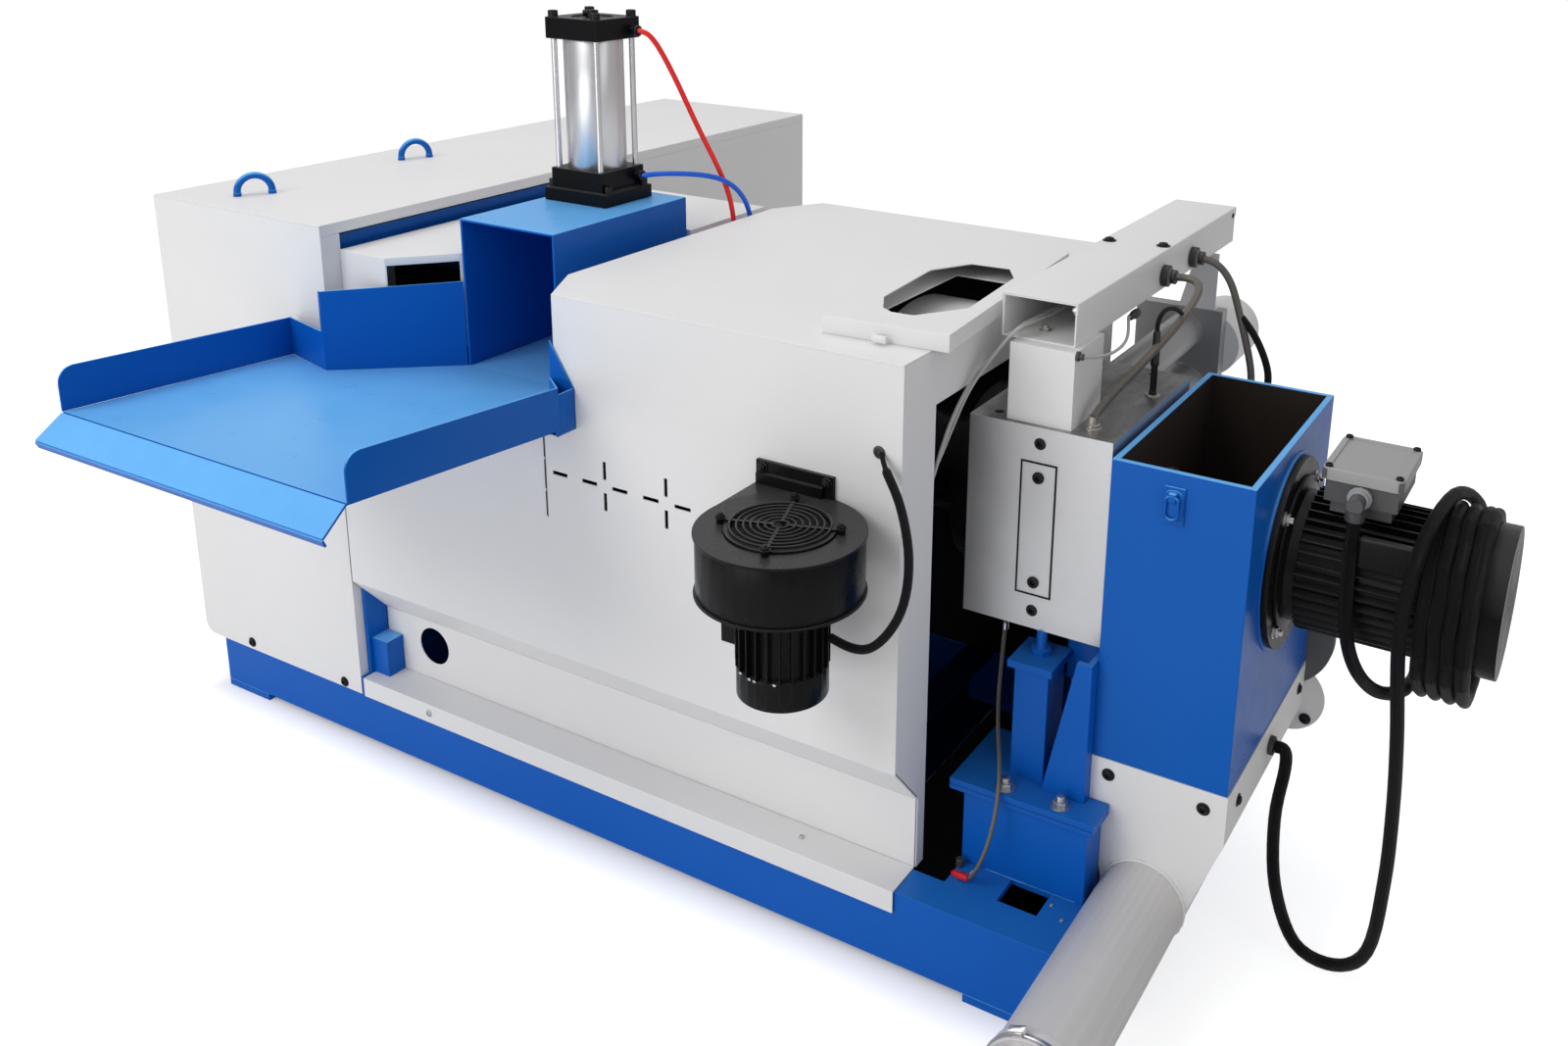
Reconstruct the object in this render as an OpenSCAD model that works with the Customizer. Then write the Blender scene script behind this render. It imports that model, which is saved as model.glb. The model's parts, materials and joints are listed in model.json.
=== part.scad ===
// Plastic pelletizing machine: drive cabinet, feed tray, extruder housing and die-face cutter.
// Millimetres, +Z up, +X runs along the extruder to the die, -Y is the operator's side.
// The origin is the middle of the underside of the front left foot, on the floor.

/* [Base] */
// Width over the two base rails
base_w = 960; // [900:10:1100]
// Height of a base rail
rail_h = 160; // [120:5:200]
// Thickness of the foot plates
foot_t = 18; // [10:1:30]
// Flange width of a base rail
rail_flange = 75; // [60:5:90]
// Length of a foot plate
foot_l = 148; // [100:2:200]

/* [Cabinet] */
// Width of the drive cabinet along the machine
cab_w = 566; // [500:2:620]
// Depth of the drive cabinet across the machine
cab_d = 1890; // [1600:10:2000]
// Height of the roof above the floor
cab_top = 1261; // [1100:1:1400]
// Height of the bottom hem of the cabinet sheets
cab_hem = 134; // [100:1:170]
// Thickness of the sheet metal covers
sheet = 3; // [2:0.5:5]

/* [Housing] */
// Length of the barrel housing at its top
hous_l = 776; // [700:2:850]
// Height of the housing top above the floor
hous_top = 1217; // [1100:1:1300]
// Height where the front sheet starts to lean in
skirt_top = 433; // [380:1:500]
// Height where the recessed skirt starts
skirt_low = 330; // [280:1:370]
// How far the skirt is set back from the front
skirt_in = 89; // [60:1:120]
// Diameter of the cable hole in the skirt
skirt_hole_d = 90; // [60:2:120]

/* [Feed] */
// Length of the tray from the throat side to the fold of its lip
tray_reach = 555; // [450:5:650]
// Slope of the tray, degrees
tray_tilt = 4.3; // [2:0.1:8]
// Height of the tray side walls
tray_wall = 85; // [50:1:120]
// Width of the feed throat
throat_w = 265; // [220:1:280]
// Height of the throat roof above the floor
throat_top = 1280; // [1240:1:1340]
// Side of the square air cylinder caps
cyl_side = 146; // [120:1:150]
// Outside diameter of the air cylinder tube
cyl_d = 132; // [100:1:136]
// Height from the throat roof to the top of the upper cap
cyl_h = 410; // [350:5:480]

/* [Die] */
// Length of the die block along the machine
die_l = 280; // [240:5:300]
// Width of the die block across the machine
die_w = 422; // [380:2:460]
// Height of the die block
die_h = 400; // [350:5:450]
// Length of the cable box beam
beam_l = 950; // [800:10:1000]
// Width of the cable box beam
beam_w = 144; // [120:2:160]
// Height of the cable box beam
beam_h = 80; // [60:2:100]

/* [Cutter] */
// Length of the cutter box along the machine
box_l = 254; // [230:2:280]
// Width of the cutter box across the machine
box_w = 543; // [500:1:580]
// Height of the cutter box
box_h = 587; // [540:1:620]
// Wall thickness of the cutter box
box_t = 12; // [8:1:16]
// Outside diameter of the discharge pipe
pipe_d = 160; // [140:2:164]
// Length of the discharge pipe in front of the hood
pipe_l = 820; // [300:10:900]
// Diameter of the cutter motor flange
motor_flange_d = 360; // [320:2:372]
// Diameter of the cutter motor over its fins
motor_d = 262; // [240:2:270]

/* [Hidden] */
$fn = 64;

// Colours
white = [0.84, 0.84, 0.83];
blue = [0.0, 0.28, 0.62];
black = [0.06, 0.06, 0.065];
steel = [0.62, 0.62, 0.63];
grey = [0.30, 0.31, 0.33];

// Heights and stations shared by several pieces
foot_w = 150;
deck_z = foot_t + rail_h;
axis_y = base_w / 2;
barrel_z = 840;
cab_x0 = -66;
cab_x1 = cab_x0 + cab_w;
cab_y0 = -sheet;
cab_y1 = cab_y0 + cab_d;
hous_x0 = 1157;
hous_x1 = hous_x0 + hous_l;
hous_y0 = -10;
hous_y1 = base_w + 10;
skirt_y = hous_y0 + skirt_in;
skirt_x0 = cab_x1 + 12;
throat_x0 = 749;
throat_x1 = throat_x0 + throat_w;
throat_y0 = axis_y - 322;
throat_y1 = axis_y + 122;
throat_z0 = 945;
throat_t = 6;
tray_t = 4;
die_x0 = hous_x1 - 2;
die_x1 = die_x0 + die_l;
die_y0 = axis_y - 230;
die_z0 = 650;
die_z1 = die_z0 + die_h;
die_cy = die_y0 + die_w / 2;
box_x0 = die_x1 + 9;
box_x1 = box_x0 + box_l;
base_l = box_x0 + 30;
box_y0 = axis_y - 257;
box_y1 = box_y0 + box_w;
box_z0 = 446;
box_z1 = box_z0 + box_h;
pipe_x = (box_x0 + box_x1) / 2 - 12;
pipe_z = 178;
hood_low = 345;
motor_z = 816;
motor_y = axis_y + 4;

// Bent sheet helpers: a path of [x, y] points and a thickness to its left
function unit(v) = v / norm(v);
function side(a, b) = let(d = unit(b - a)) [-d[1], d[0]];
function shifted(p, i, t) =
    i == 0 ? p[0] + t * side(p[0], p[1]) :
    i == len(p) - 1 ? p[i] + t * side(p[i - 1], p[i]) :
    let(m = side(p[i - 1], p[i]), n = side(p[i], p[i + 1])) p[i] + t * (m + n) / (1 + m * n);
module bent(p, t) {
    polygon(concat(p, [for (i = [len(p) - 1 : -1 : 0]) shifted(p, i, t)]));
}

// Cord helpers: a smooth route through round points and one swept tube along it
function cr(a, b, c, d, t) =
    0.5 * (2 * b + (c - a) * t + (2 * a - 5 * b + 4 * c - d) * t * t
    + (3 * b - a - 3 * c + d) * t * t * t);
function smooth(p, n) = [for (i = [0 : len(p) - 2]) for (k = [0 : n - 1])
    cr(p[max(i - 1, 0)], p[i], p[i + 1], p[min(i + 2, len(p) - 1)], k / n), p[len(p) - 1]];
function tangent(p, i) = unit(p[min(i + 1, len(p) - 1)] - p[max(i - 1, 0)]);
function across(t, u) = unit(u - (u * t) * t);
module tube(p, r, sides, up) {
    rings = [for (i = [0 : len(p) - 1]) let(t = tangent(p, i), u = across(t, up), v = cross(t, u))
        for (k = [0 : sides - 1]) p[i] + r * (cos(360 * k / sides) * u + sin(360 * k / sides) * v)];
    n = len(p);
    faces = concat([[for (k = [0 : sides - 1]) k]],
        [for (i = [0 : n - 2]) for (k = [0 : sides - 1]) let(q = (k + 1) % sides)
            [i * sides + k, (i + 1) * sides + k, (i + 1) * sides + q, i * sides + q]],
        [[for (k = [sides - 1 : -1 : 0]) (n - 1) * sides + k]]);
    polyhedron(points = rings, faces = faces);
}

// Cord routes, hand-placed round numbers in the machine's own coordinates
coil_r = 164;
coil_z = 796;
coil_x = 2716;
cable_r = 12;
motor_loop = [[2716, 331, 708], [2718, 316, 680], [2726, 322, 600], [2732, 345, 450],
    [2732, 362, 284], [2717, 375, 120], [2661, 390, 52], [2582, 410, 52], [2530, 430, 147],
    [2510, 460, 268], [2512, 496, 360], [2506, 505, 392], [2489.5, 505, 395]];
gland_hose = [[2607, 369, 954], [2608, 366, 900], [2614, 350, 850], [2622, 338, 790],
    [2640, 338, 735], [2662, 350, 696], [2686, 368, 678], [2703, 379, 671]];
blower_hose = [[1868, -130, 752], [1914, -136, 748], [1955, -130, 760], [1988, -100, 819],
    [1984, -70, 904], [1950, -45, 985], [1914, -32, 1032], [1894, -13, 1053]];
sensor_route = [[2004, 290, 650], [2004, 286, 600], [2006, 268, 489], [2028, 222, 433],
    [2060, 166, 400], [2080, 116, 345], [2076, 86, 270], [2056, 76, 214], [2042, 90, 194]];
red_route = [[936.5, 530, 1660], [950, 531, 1660], [973, 548, 1644], [996, 592, 1556],
    [1016, 652, 1430], [1046, 720, 1285], [1052, 738, 1180], [1048, 745, 1110]];
blue_route = [[936.5, 530, 1334], [952, 531, 1335], [990, 562, 1339], [1048, 680, 1318],
    [1068, 752, 1262], [1068, 785, 1190], [1062, 790, 1110]];
hose_a = [[2140, 750, 1226], [2170, 746, 1229], [2200, 718, 1226], [2210, 660, 1208],
    [2198, 570, 1168], [2175, 440, 1122], [2158, 345, 1090], [2153, 300, 1070]];
hose_b = [[2140, 930, 1226], [2172, 936, 1216], [2202, 945, 1176], [2224, 950, 1108],
    [2246, 950, 1040], [2262, 950, 970], [2254, 950, 910], [2222, 950, 872], [2180, 950, 860],
    [2142, 950, 860]];

// Everything is drawn from the base corner and moved so that the foot is the origin
module place() { translate([-foot_l / 2, -foot_w / 2, 0]) children(); }

module along_x(x0, x1) {
    translate([x0, 0, 0]) rotate([90, 0, 90]) linear_extrude(x1 - x0) children();
}
module along_y(y0, y1) {
    translate([0, y1, 0]) rotate([90, 0, 0]) linear_extrude(y1 - y0) children();
}
module block(x0, x1, y0, y1, z0, z1) {
    translate([x0, y0, z0]) cube([x1 - x0, y1 - y0, z1 - z0]);
}
module rod_x(x0, x1, y, z, r) { translate([x0, y, z]) rotate([0, 90, 0]) cylinder(h = x1 - x0, r = r); }
module rod_y(x, y0, y1, z, r) { translate([x, y1, z]) rotate([90, 0, 0]) cylinder(h = y1 - y0, r = r); }

// Channel section lying with its web on the near side
module channel(flange, web) {
    polygon([[0, 0], [flange, 0], [flange, 10], [web, 14], [web, rail_h - 14],
        [flange, rail_h - 10], [flange, rail_h], [0, rail_h]]);
}

// Base
module foot_plates() color(blue) place() {
    far = cab_y1 - 60;
    for (x = [0, base_l - foot_l - 23]) for (y = [0, base_w - foot_w])
        block(x, x + foot_l, y, y + foot_w, 0, foot_t);
    for (x = [0, 352]) block(x, x + 128, far - foot_w, far, 0, foot_t);
}
module base_rails() color(blue) place() {
    translate([0, 0, foot_t]) along_x(0, base_l) channel(rail_flange, 9);
    translate([0, base_w, foot_t]) mirror([0, 1, 0]) along_x(0, base_l) channel(rail_flange, 9);
}
module base_cross_rails() color(blue) place()
    for (x = [0, 430, 1100, hous_x1 - 293])
        translate([x, base_w - rail_flange, foot_t]) rotate([0, 0, -90])
            along_x(0, base_w - 2 * rail_flange) channel(rail_flange, 9);
deck_x0 = base_l - 252;
module die_end_deck() color(blue) place() difference() {
    union() {
        block(deck_x0, base_l, rail_flange, base_w - rail_flange, deck_z - 12, deck_z);
        block(base_l - 10, base_l, rail_flange, base_w - rail_flange, foot_t, deck_z - 12);
        block(deck_x0, deck_x0 + 10, rail_flange, base_w - rail_flange, foot_t, deck_z - 12);
    }
    block(deck_x0 + 107, deck_x0 + 187, rail_flange + 4, rail_flange + 72, deck_z - 20, deck_z + 1);
}
module cabinet_base_frame() color(blue) place() {
    far = cab_y1 - 60;
    for (x = [0, 405]) block(x, x + rail_flange, base_w, far - 75, foot_t, deck_z);
    block(0, 480, far - 75, far, foot_t, deck_z);
}

// Drive cabinet
module cabinet_front_panel() color(white) place() {
    r = 30;
    along_y(cab_y0, 0) union() {
        translate([cab_x0 + r, cab_hem]) square([cab_w - r, cab_top - sheet - cab_hem]);
        translate([cab_x0, cab_hem + r]) square([r, cab_top - sheet - cab_hem - r]);
        translate([cab_x0 + r, cab_hem + r]) circle(r);
    }
    block(cab_x1 - sheet, cab_x1, 0, 48, deck_z, cab_top - 25);
}
module cabinet_side_panels() color(white) place() {
    block(cab_x0, cab_x0 + sheet, 0, cab_y1 - sheet, cab_hem + 30, cab_top - sheet);
    block(cab_x0, cab_x1, cab_y1 - sheet, cab_y1, cab_hem, cab_top - sheet);
    block(cab_x1 - sheet, cab_x1, base_w - 48, cab_y1 - sheet, deck_z, cab_top - 25);
}
module cabinet_roof() color(white) place() {
    block(cab_x0, cab_x1, cab_y0, cab_y1, cab_top - sheet, cab_top);
    block(cab_x1 - sheet, cab_x1, 0, cab_y1 - sheet, cab_top - 25, cab_top - sheet);
}
module cabinet_beam() color(blue) place()
    block(cab_x1 - 70, cab_x1 - 20, 0, cab_y1 - sheet, cab_top - 95, cab_top - 35);
module lifting_eyes() color(blue) place() {
    eye_r = 38;
    for (p = [[125, 126, 62], [83, 649, 70]])
        translate([p[0], p[1], cab_top + 8]) rotate([0, 0, p[2]]) rotate([90, 0, 0]) union() {
            rotate_extrude(angle = 180) translate([eye_r, 0]) circle(8, $fn = 16);
            for (s = [-1, 1]) translate([s * eye_r, 0, 0]) rotate([90, 0, 0]) cylinder(h = 8, r = 9, $fn = 16);
        }
}

// Drive inside the cabinet and its cover
module gearbox() color(black) place() {
    block(430, 725, axis_y - 230, axis_y + 230, deck_z, 1130);
    rod_x(725, 735, axis_y, barrel_z, 150);
}
module gearbox_cover() color(white) place() {
    x0 = cab_x1;
    top = 1200;
    cut = [637, 45];
    turn = [throat_x0 - 6, 172];
    difference() {
        translate([0, 0, 990]) linear_extrude(top - sheet - 990) union() {
            bent([[x0, cut[1]], cut], sheet);
            bent([cut, turn, [turn[0], throat_y1 + 10], [1018, throat_y1 + 10],
                [1018, base_w - 45], [x0, base_w - 45]], sheet);
        }
        translate([cut[0], cut[1], 0]) rotate([0, 0, 50.1])
            translate([4, -20, 1010]) cube([150, 40, 172]);
    }
    translate([0, 0, top - sheet]) linear_extrude(sheet)
        polygon([[x0, cut[1]], cut, turn, [turn[0], throat_y1 + 10], [1018, throat_y1 + 10],
            [1018, base_w - 45], [x0, base_w - 45]]);
}

// Feed throat with its ram cylinder
module throat_hood() color(blue) place() difference() {
    block(throat_x0, throat_x1, throat_y0, throat_y1, throat_z0 + tray_t, throat_top);
    block(throat_x0 + throat_t, throat_x1 - throat_t, throat_y0 - 1, throat_y1 - throat_t,
        throat_z0, throat_top - throat_t);
}
cyl_x = 855;
cap_h = 47;
module cap_plate(z, h) {
    translate([cyl_x - cyl_side / 2, axis_y + 4 - cyl_side / 2, z]) cube([cyl_side, cyl_side, h]);
}
module cylinder_foot() color(black) place() {
    translate([cyl_x - 88, axis_y + 4 - 82, throat_top]) cube([178, 162, 30]);
    cap_plate(throat_top + 30, 45);
}
module cylinder_tube() color(steel) place()
    translate([cyl_x, axis_y + 4, throat_top + 75]) cylinder(h = cyl_h - 75 - cap_h, d = cyl_d);
module tie_rods() color(steel) place()
    for (a = [-1, 1]) for (b = [-1, 1])
        translate([cyl_x + a * 60, axis_y + 4 + b * 60, throat_top + 75])
            cylinder(h = cyl_h - 75 - cap_h, r = 6.5, $fn = 24);
module cylinder_head() color(black) place() difference() {
    cap_plate(throat_top + cyl_h - cap_h, cap_h);
    translate([cyl_x, axis_y + 4, throat_top + cyl_h - 4]) cylinder(h = 8, r = 46);
}
module red_air_hose() color([0.85, 0.02, 0.02]) place() tube(smooth(red_route, 3), 5, 8, [1, 0, 0.2]);
module blue_air_hose() color([0, 0.2, 0.75]) place() tube(smooth(blue_route, 3), 5, 8, [1, 0, 0.2]);

// Feed tray: one plan outline cut from a bent profile, with bent walls round it
tray_rise = tan(tray_tilt);
tray_l = 430;
tray_r = 1205;
function tray_z(y) = throat_z0 + tray_rise * (throat_y0 - y);
tray_left_path = [[tray_l, -tray_reach], [405, -25], [560, -65], [throat_x0 - 1, throat_y0 - 1]];
tray_right_path = [[tray_r, -tray_reach], [tray_r, -60], [1148, -16], [1079, 110]];
module tray_floor() color(blue) place() {
    fold = tray_z(-tray_reach);
    difference() {
        intersection() {
            along_x(300, 1300) union() {
                bent([[-tray_reach, fold], [throat_y0, throat_z0]], tray_t);
                bent([[-tray_reach - 52, fold - 40], [-tray_reach, fold]], tray_t);
                bent([[-tray_reach - 46, fold - 52], [-tray_reach - 52, fold - 40]], tray_t);
            }
            translate([0, 0, 800]) linear_extrude(400)
                polygon(concat([[tray_l - 12, -tray_reach - 80]], tray_left_path,
                    [[throat_x0, throat_y0], [throat_x1, throat_y0], [1079, 110], [1148, -16], [tray_r, -60],
                    [tray_r, -tray_reach], [tray_r + 4, -tray_reach - 80]]));
        }
        block(throat_x0, throat_x1, throat_y0, throat_y0 + 10, throat_z0 - 10, throat_z0 + 20);
    }
    difference() {
        block(throat_x0, throat_x1, throat_y0, throat_y1, throat_z0, throat_z0 + tray_t);
        block(790, 925, axis_y - 70, axis_y + 70, throat_z0 - 1, throat_z0 + tray_t + 1);
    }
}
module tray_left_wall() intersection() {
    translate([0, 0, 900]) linear_extrude(400) bent(tray_left_path, tray_t);
    union() {
        along_x(300, 552) tray_side_profile(0);
        along_x(552, throat_x0) polygon([[-90, tray_z(-90) + tray_t], [throat_y0, throat_z0 + tray_t],
            [throat_y0, 1140], [-90, 1140]]);
    }
}
module tray_right_wall() intersection() {
    translate([0, 0, 900]) linear_extrude(400) bent(tray_right_path, -tray_t);
    along_x(1000, 1300) tray_side_profile(throat_y0);
}
module tray_side_profile(far) {
    r = 32;
    y0 = -tray_reach;
    z0 = tray_z(y0) + tray_t;
    polygon(concat([[y0, z0]], [for (a = [180 : -15 : 90])
        [y0 + r + r * cos(a), z0 + tray_wall - r + r * sin(a) - (a < 120 ? 1 : 0)]],
        [[far, tray_z(far) + tray_t + tray_wall], [far, tray_z(far) + tray_t]]));
}

module tray_walls() color(blue) place() {
    tray_left_wall();
    tray_right_wall();
}

// Barrel housing
skirt_path = [[hous_y0, hous_top - sheet], [hous_y0, skirt_top], [skirt_y, skirt_low], [skirt_y, deck_z]];
front_path = [skirt_path[0], skirt_path[1], skirt_path[2]];
module slot(x, z, w, h) { block(x - w / 2, x + w / 2, hous_y0 - 1, hous_y0 + sheet + 1, z - h / 2, z + h / 2); }
module housing_front() color(white) place() difference() {
    along_x(skirt_x0, hous_x1) bent(front_path, sheet);
    block(skirt_x0 - 1, 1121, -40, 40, 925, hous_top);
    block(1120, hous_x0, -40, 40, 925, hous_top);
    block(1120, 1123, -40, 40, 743, hous_top);
    for (i = [0 : 4]) slot(1159 + 76 * i, 845, 38, 8);
    for (x = [1274, 1424]) for (z = [812, 878]) slot(x, z, 8, 38);
    rod_y(blow_x + 102, hous_y0 - 5, hous_y0 + 10, 1052, 12);
    block(blow_x - 126, blow_x - 6, hous_y0 - 1, hous_y0 + sheet + 1, 860, 950);
}
module housing_skirt() color(white) place() difference() {
    block(skirt_x0, hous_x1 - sheet, skirt_y, skirt_y + sheet, deck_z, skirt_low - 0.5);
    rod_y(662, skirt_y - 5, skirt_y + 10, 268, skirt_hole_d / 2);
}
module housing_rear() color(white) place()
    translate([0, base_w, 0]) mirror([0, 1, 0]) difference() {
        along_x(skirt_x0, hous_x1) bent(skirt_path, sheet);
        block(skirt_x0 - 1, hous_x0, -40, 40, 925, hous_top);
    }
module housing_top() color(white) place() translate([0, 0, hous_top - sheet]) linear_extrude(sheet)
    difference() {
        polygon([[hous_x0, hous_y0], [hous_x1, hous_y0], [hous_x1, hous_y1], [hous_x0, hous_y1],
            [1088, hous_y1 - 126], [1088, hous_y0 + 126]]);
        translate([hous_x1 - 188, 150]) square([160, 400]);
    }
module housing_left_side() color(white) place() translate([0, 0, 925]) linear_extrude(hous_top - sheet - 925)
    bent([[hous_x0, hous_y0], [1088, hous_y0 + 126], [1088, hous_y1 - 126], [hous_x0, hous_y1]], -sheet);
module housing_end_frame() color(white) place() difference() {
    along_x(hous_x1 - sheet, hous_x1)
        polygon([[hous_y0 + sheet, hous_top - sheet], [hous_y0 + sheet, skirt_top + 4],
            [skirt_y + sheet, skirt_low + 4], [skirt_y + sheet, deck_z],
            [hous_y1 - skirt_in - sheet, deck_z], [hous_y1 - skirt_in - sheet, skirt_low + 4],
            [hous_y1 - sheet, skirt_top + 4], [hous_y1 - sheet, hous_top - sheet]]);
    block(hous_x1 - 10, hous_x1 + 10, 110, base_w - 110, deck_z - 1, 1110);
}
lid_l = 245;
lid_w = 642;
lid_h = 33;
lid_outline = [[75, 95], [100, 77], [143, 77], [212, 165], [212, 400], [180, 461], [100, 461],
    [46, 376], [46, 160]];
module access_lid() color(white) place()
    translate([hous_x1 - 211, 68, hous_top]) rotate([0, 0, 4.5]) difference() {
    cube([lid_l, lid_w, lid_h]);
    translate([sheet, sheet, -1]) cube([lid_l - 2 * sheet, lid_w - 2 * sheet, lid_h + 1 - sheet]);
    translate([0, 0, lid_h - 10]) linear_extrude(20) polygon(lid_outline);
}
module extruder_barrel() color(black) place() {
    rod_x(735, die_x0 - 60, axis_y, barrel_z, 100);
    block(790 - 12, 925 + 12, axis_y - 82, axis_y + 82, barrel_z, throat_z0);
    rod_x(die_x0 - 60, die_x0, axis_y, barrel_z, 185);
}
// Curved guard over the hot barrel: a sector of sheet on one radial web
jacket_r = 335;
jacket_x0 = hous_x1 - 243;
jacket_l = 175;
module jacket_sector(r_in, r_out) translate([axis_y, barrel_z]) intersection() {
    difference() {
        circle(r_out);
        circle(r_in);
    }
    polygon([[0, 0], [600, 714], [0, 900], [-600, 714]]);
}
module barrel_jacket() color(white) place() {
    along_x(jacket_x0, jacket_x0 + jacket_l) jacket_sector(jacket_r - sheet, jacket_r);
    along_x(jacket_x0, jacket_x0 + sheet) jacket_sector(100, jacket_r);
}
module sill_cover() color(white) place()
    along_x(skirt_x0, hous_x1 - 2) bent([[skirt_y - 1, deck_z], [-sheet, deck_z], [-sheet, cab_hem]], -sheet);
module corner_post() color(blue) place() {
    block(cab_x1 + 1, skirt_x0 - 0.5, 20, 78, deck_z, 400);
    block(skirt_x0 - 0.5, skirt_x0 + 48, 30, skirt_y - 2, deck_z + sheet, deck_z + 92);
}

// Cooling blower
blow_x = hous_x1 - 147;
blow_y = -160;
module blower_scroll() color(black) place() {
    translate([0, 0, 834]) linear_extrude(110) difference() {
        union() {
            translate([blow_x, blow_y]) circle(144);
            translate([blow_x - 144, blow_y]) square([140, 134]);
        }
        translate([blow_x - 132, blow_y + 60]) square([116, 90]);
    }
    block(blow_x - 144, blow_x - 4, -26, hous_y0, 836, 966);
    block(blow_x - 148, blow_x + 15, -18, hous_y0, 836, 988);
    translate([blow_x, blow_y, 944]) difference() {
        cylinder(h = 6, r = 96);
        translate([0, 0, -1]) cylinder(h = 8, r = 84);
    }
}
module blower_guard() color(black) place() translate([blow_x, blow_y, 953]) {
    for (r = [14 : 12 : 86]) rotate_extrude($fn = 48) translate([r, 0]) circle(2.4, $fn = 8);
    for (a = [20 : 90 : 290]) rotate([0, 0, a]) translate([10, -3, -3]) cube([92, 6, 4]);
    for (a = [20 : 90 : 290]) rotate([0, 0, a]) translate([104, 0, -9]) cylinder(h = 12, r = 7, $fn = 24);
}
module blower_motor() color(black) place() translate([blow_x + 4, blow_y, 0]) {
    translate([0, 0, 812]) cylinder(h = 22, r = 86);
    translate([0, 0, 700]) linear_extrude(112) union() {
        circle(70);
        for (a = [0 : 15 : 345]) rotate([0, 0, a]) translate([66, -1.5]) square([16, 3]);
    }
    translate([0, 0, 646]) cylinder(h = 54, r = 80);
    translate([-112, -24, 716]) cube([50, 48, 66]);
}
module blower_conduit() color(black) place() tube(smooth(blower_hose, 3), 8, 8, [0, 0.3, 1]);

// Die block, its cover strip, cable beam and screen changer cylinder
strip_x0 = die_x0 + 109;
strip_x1 = strip_x0 + 66;
strip_z0 = die_z0 + 70;
strip_z1 = strip_z0 + 260;
strip_t = 8;
strip_gap = 3;
plate_y = die_y0 + 850;
plate_top = die_z1 + 14;
beam_x0 = die_x0 + 39;
beam_x1 = beam_x0 + beam_w;
beam_y0 = die_y0 + 40;
beam_z = die_z1 + 147;
leg_x0 = die_x0 + 69;
leg_x1 = leg_x0 + 126;
gland_ys = [750, 930];
ram_x = die_x0 + 127;
ram_z = 860;
ram_r = 66;
module die_block() color(steel) place() {
    difference() {
        block(die_x0, die_x1, die_y0, die_y0 + die_w, die_z0, die_z1);
        block(strip_x0 - strip_gap, strip_x1 + strip_gap, die_y0 - 1, die_y0 + strip_t,
            strip_z0 - strip_gap, strip_z1 + strip_gap);
        for (z = [strip_z0 - 34, strip_z1 + 39])
            rod_y((strip_x0 + strip_x1) / 2, die_y0 - 1, die_y0 + 8, z, 11);
    }
    rod_x(die_x1, box_x0, die_cy, barrel_z, 120);
}
module die_cover_strip() color(steel) place() difference() {
    block(strip_x0, strip_x1, die_y0, die_y0 + strip_t, strip_z0, strip_z1);
    for (z = [strip_z0 + 24, strip_z1 - 27]) rod_y((strip_x0 + strip_x1) / 2, die_y0 - 1, die_y0 + 6, z, 11);
}
module cable_beam() color(white) place() {
    difference() {
        block(leg_x0, leg_x1, die_y0 + 12, die_y0 + 150, die_z1, beam_z);
        block(leg_x0 + 4, leg_x1 - 4, die_y0 + 16, die_y0 + 151, die_z1 - 1, beam_z - 4);
    }
    difference() {
        block(beam_x0, beam_x1, beam_y0, beam_y0 + beam_l, beam_z, beam_z + beam_h);
        block(beam_x0 + sheet, beam_x1 - sheet, beam_y0 - 1, beam_y0 + beam_l + 1,
            beam_z + sheet, beam_z + beam_h - sheet);
    }
    along_y(plate_y, plate_y + sheet)
        polygon([[leg_x1 - 85, plate_top], [leg_x1, plate_top], [leg_x1, beam_z], [leg_x1 - 52, beam_z]]);
    block(leg_x1 - 85, leg_x1, plate_y + sheet, plate_y + 32, plate_top, plate_top + sheet);
}
module hose_fittings() color(black) place() {
    for (y = gland_ys) {
        rod_x(beam_x1, beam_x1 + 12, y, beam_z + 29, 17);
        rod_x(beam_x1 + 12, beam_x1 + 26, y, beam_z + 29, 13);
    }
    rod_x(ram_x + ram_r + 0.3, ram_x + ram_r + 18, 950, ram_z, 13);
    rod_x(box_x1 + 2, box_x1 + 14, 505, 395, 15);
    for (z = [throat_top + 54, throat_top + cyl_h - 30])
        rod_x(cyl_x + cyl_side / 2, cyl_x + cyl_side / 2 + 8, axis_y + 50, z, 9);
}
module beam_hoses() color(grey) place() {
    tube(smooth(hose_a, 2), 8, 8, [0, 0.2, 1]);
    tube(smooth(hose_b, 2), 8, 8, [0, 1, 0.2]);
    translate([2153, 298, die_z1]) cylinder(h = 20, r = 12, $fn = 24);
}
module changer_cylinder() color(grey) place() {
    rod_y(ram_x, die_y0 + die_w, plate_y, die_z1 - 44, 42);
    rod_y(ram_x, die_y0 + die_w, plate_y, ram_z, ram_r);
    block(die_x0 + 10, die_x0 + 214, plate_y, plate_y + 35, ram_z - 100, plate_top);
}
module changer_tail() color(white) place() {
    rod_y(ram_x + 45, plate_y + 35, plate_y + 200, plate_top - 92, 76);
    rod_y(ram_x + 45, plate_y + 200, plate_y + 212, plate_top - 92, 62);
}

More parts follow.
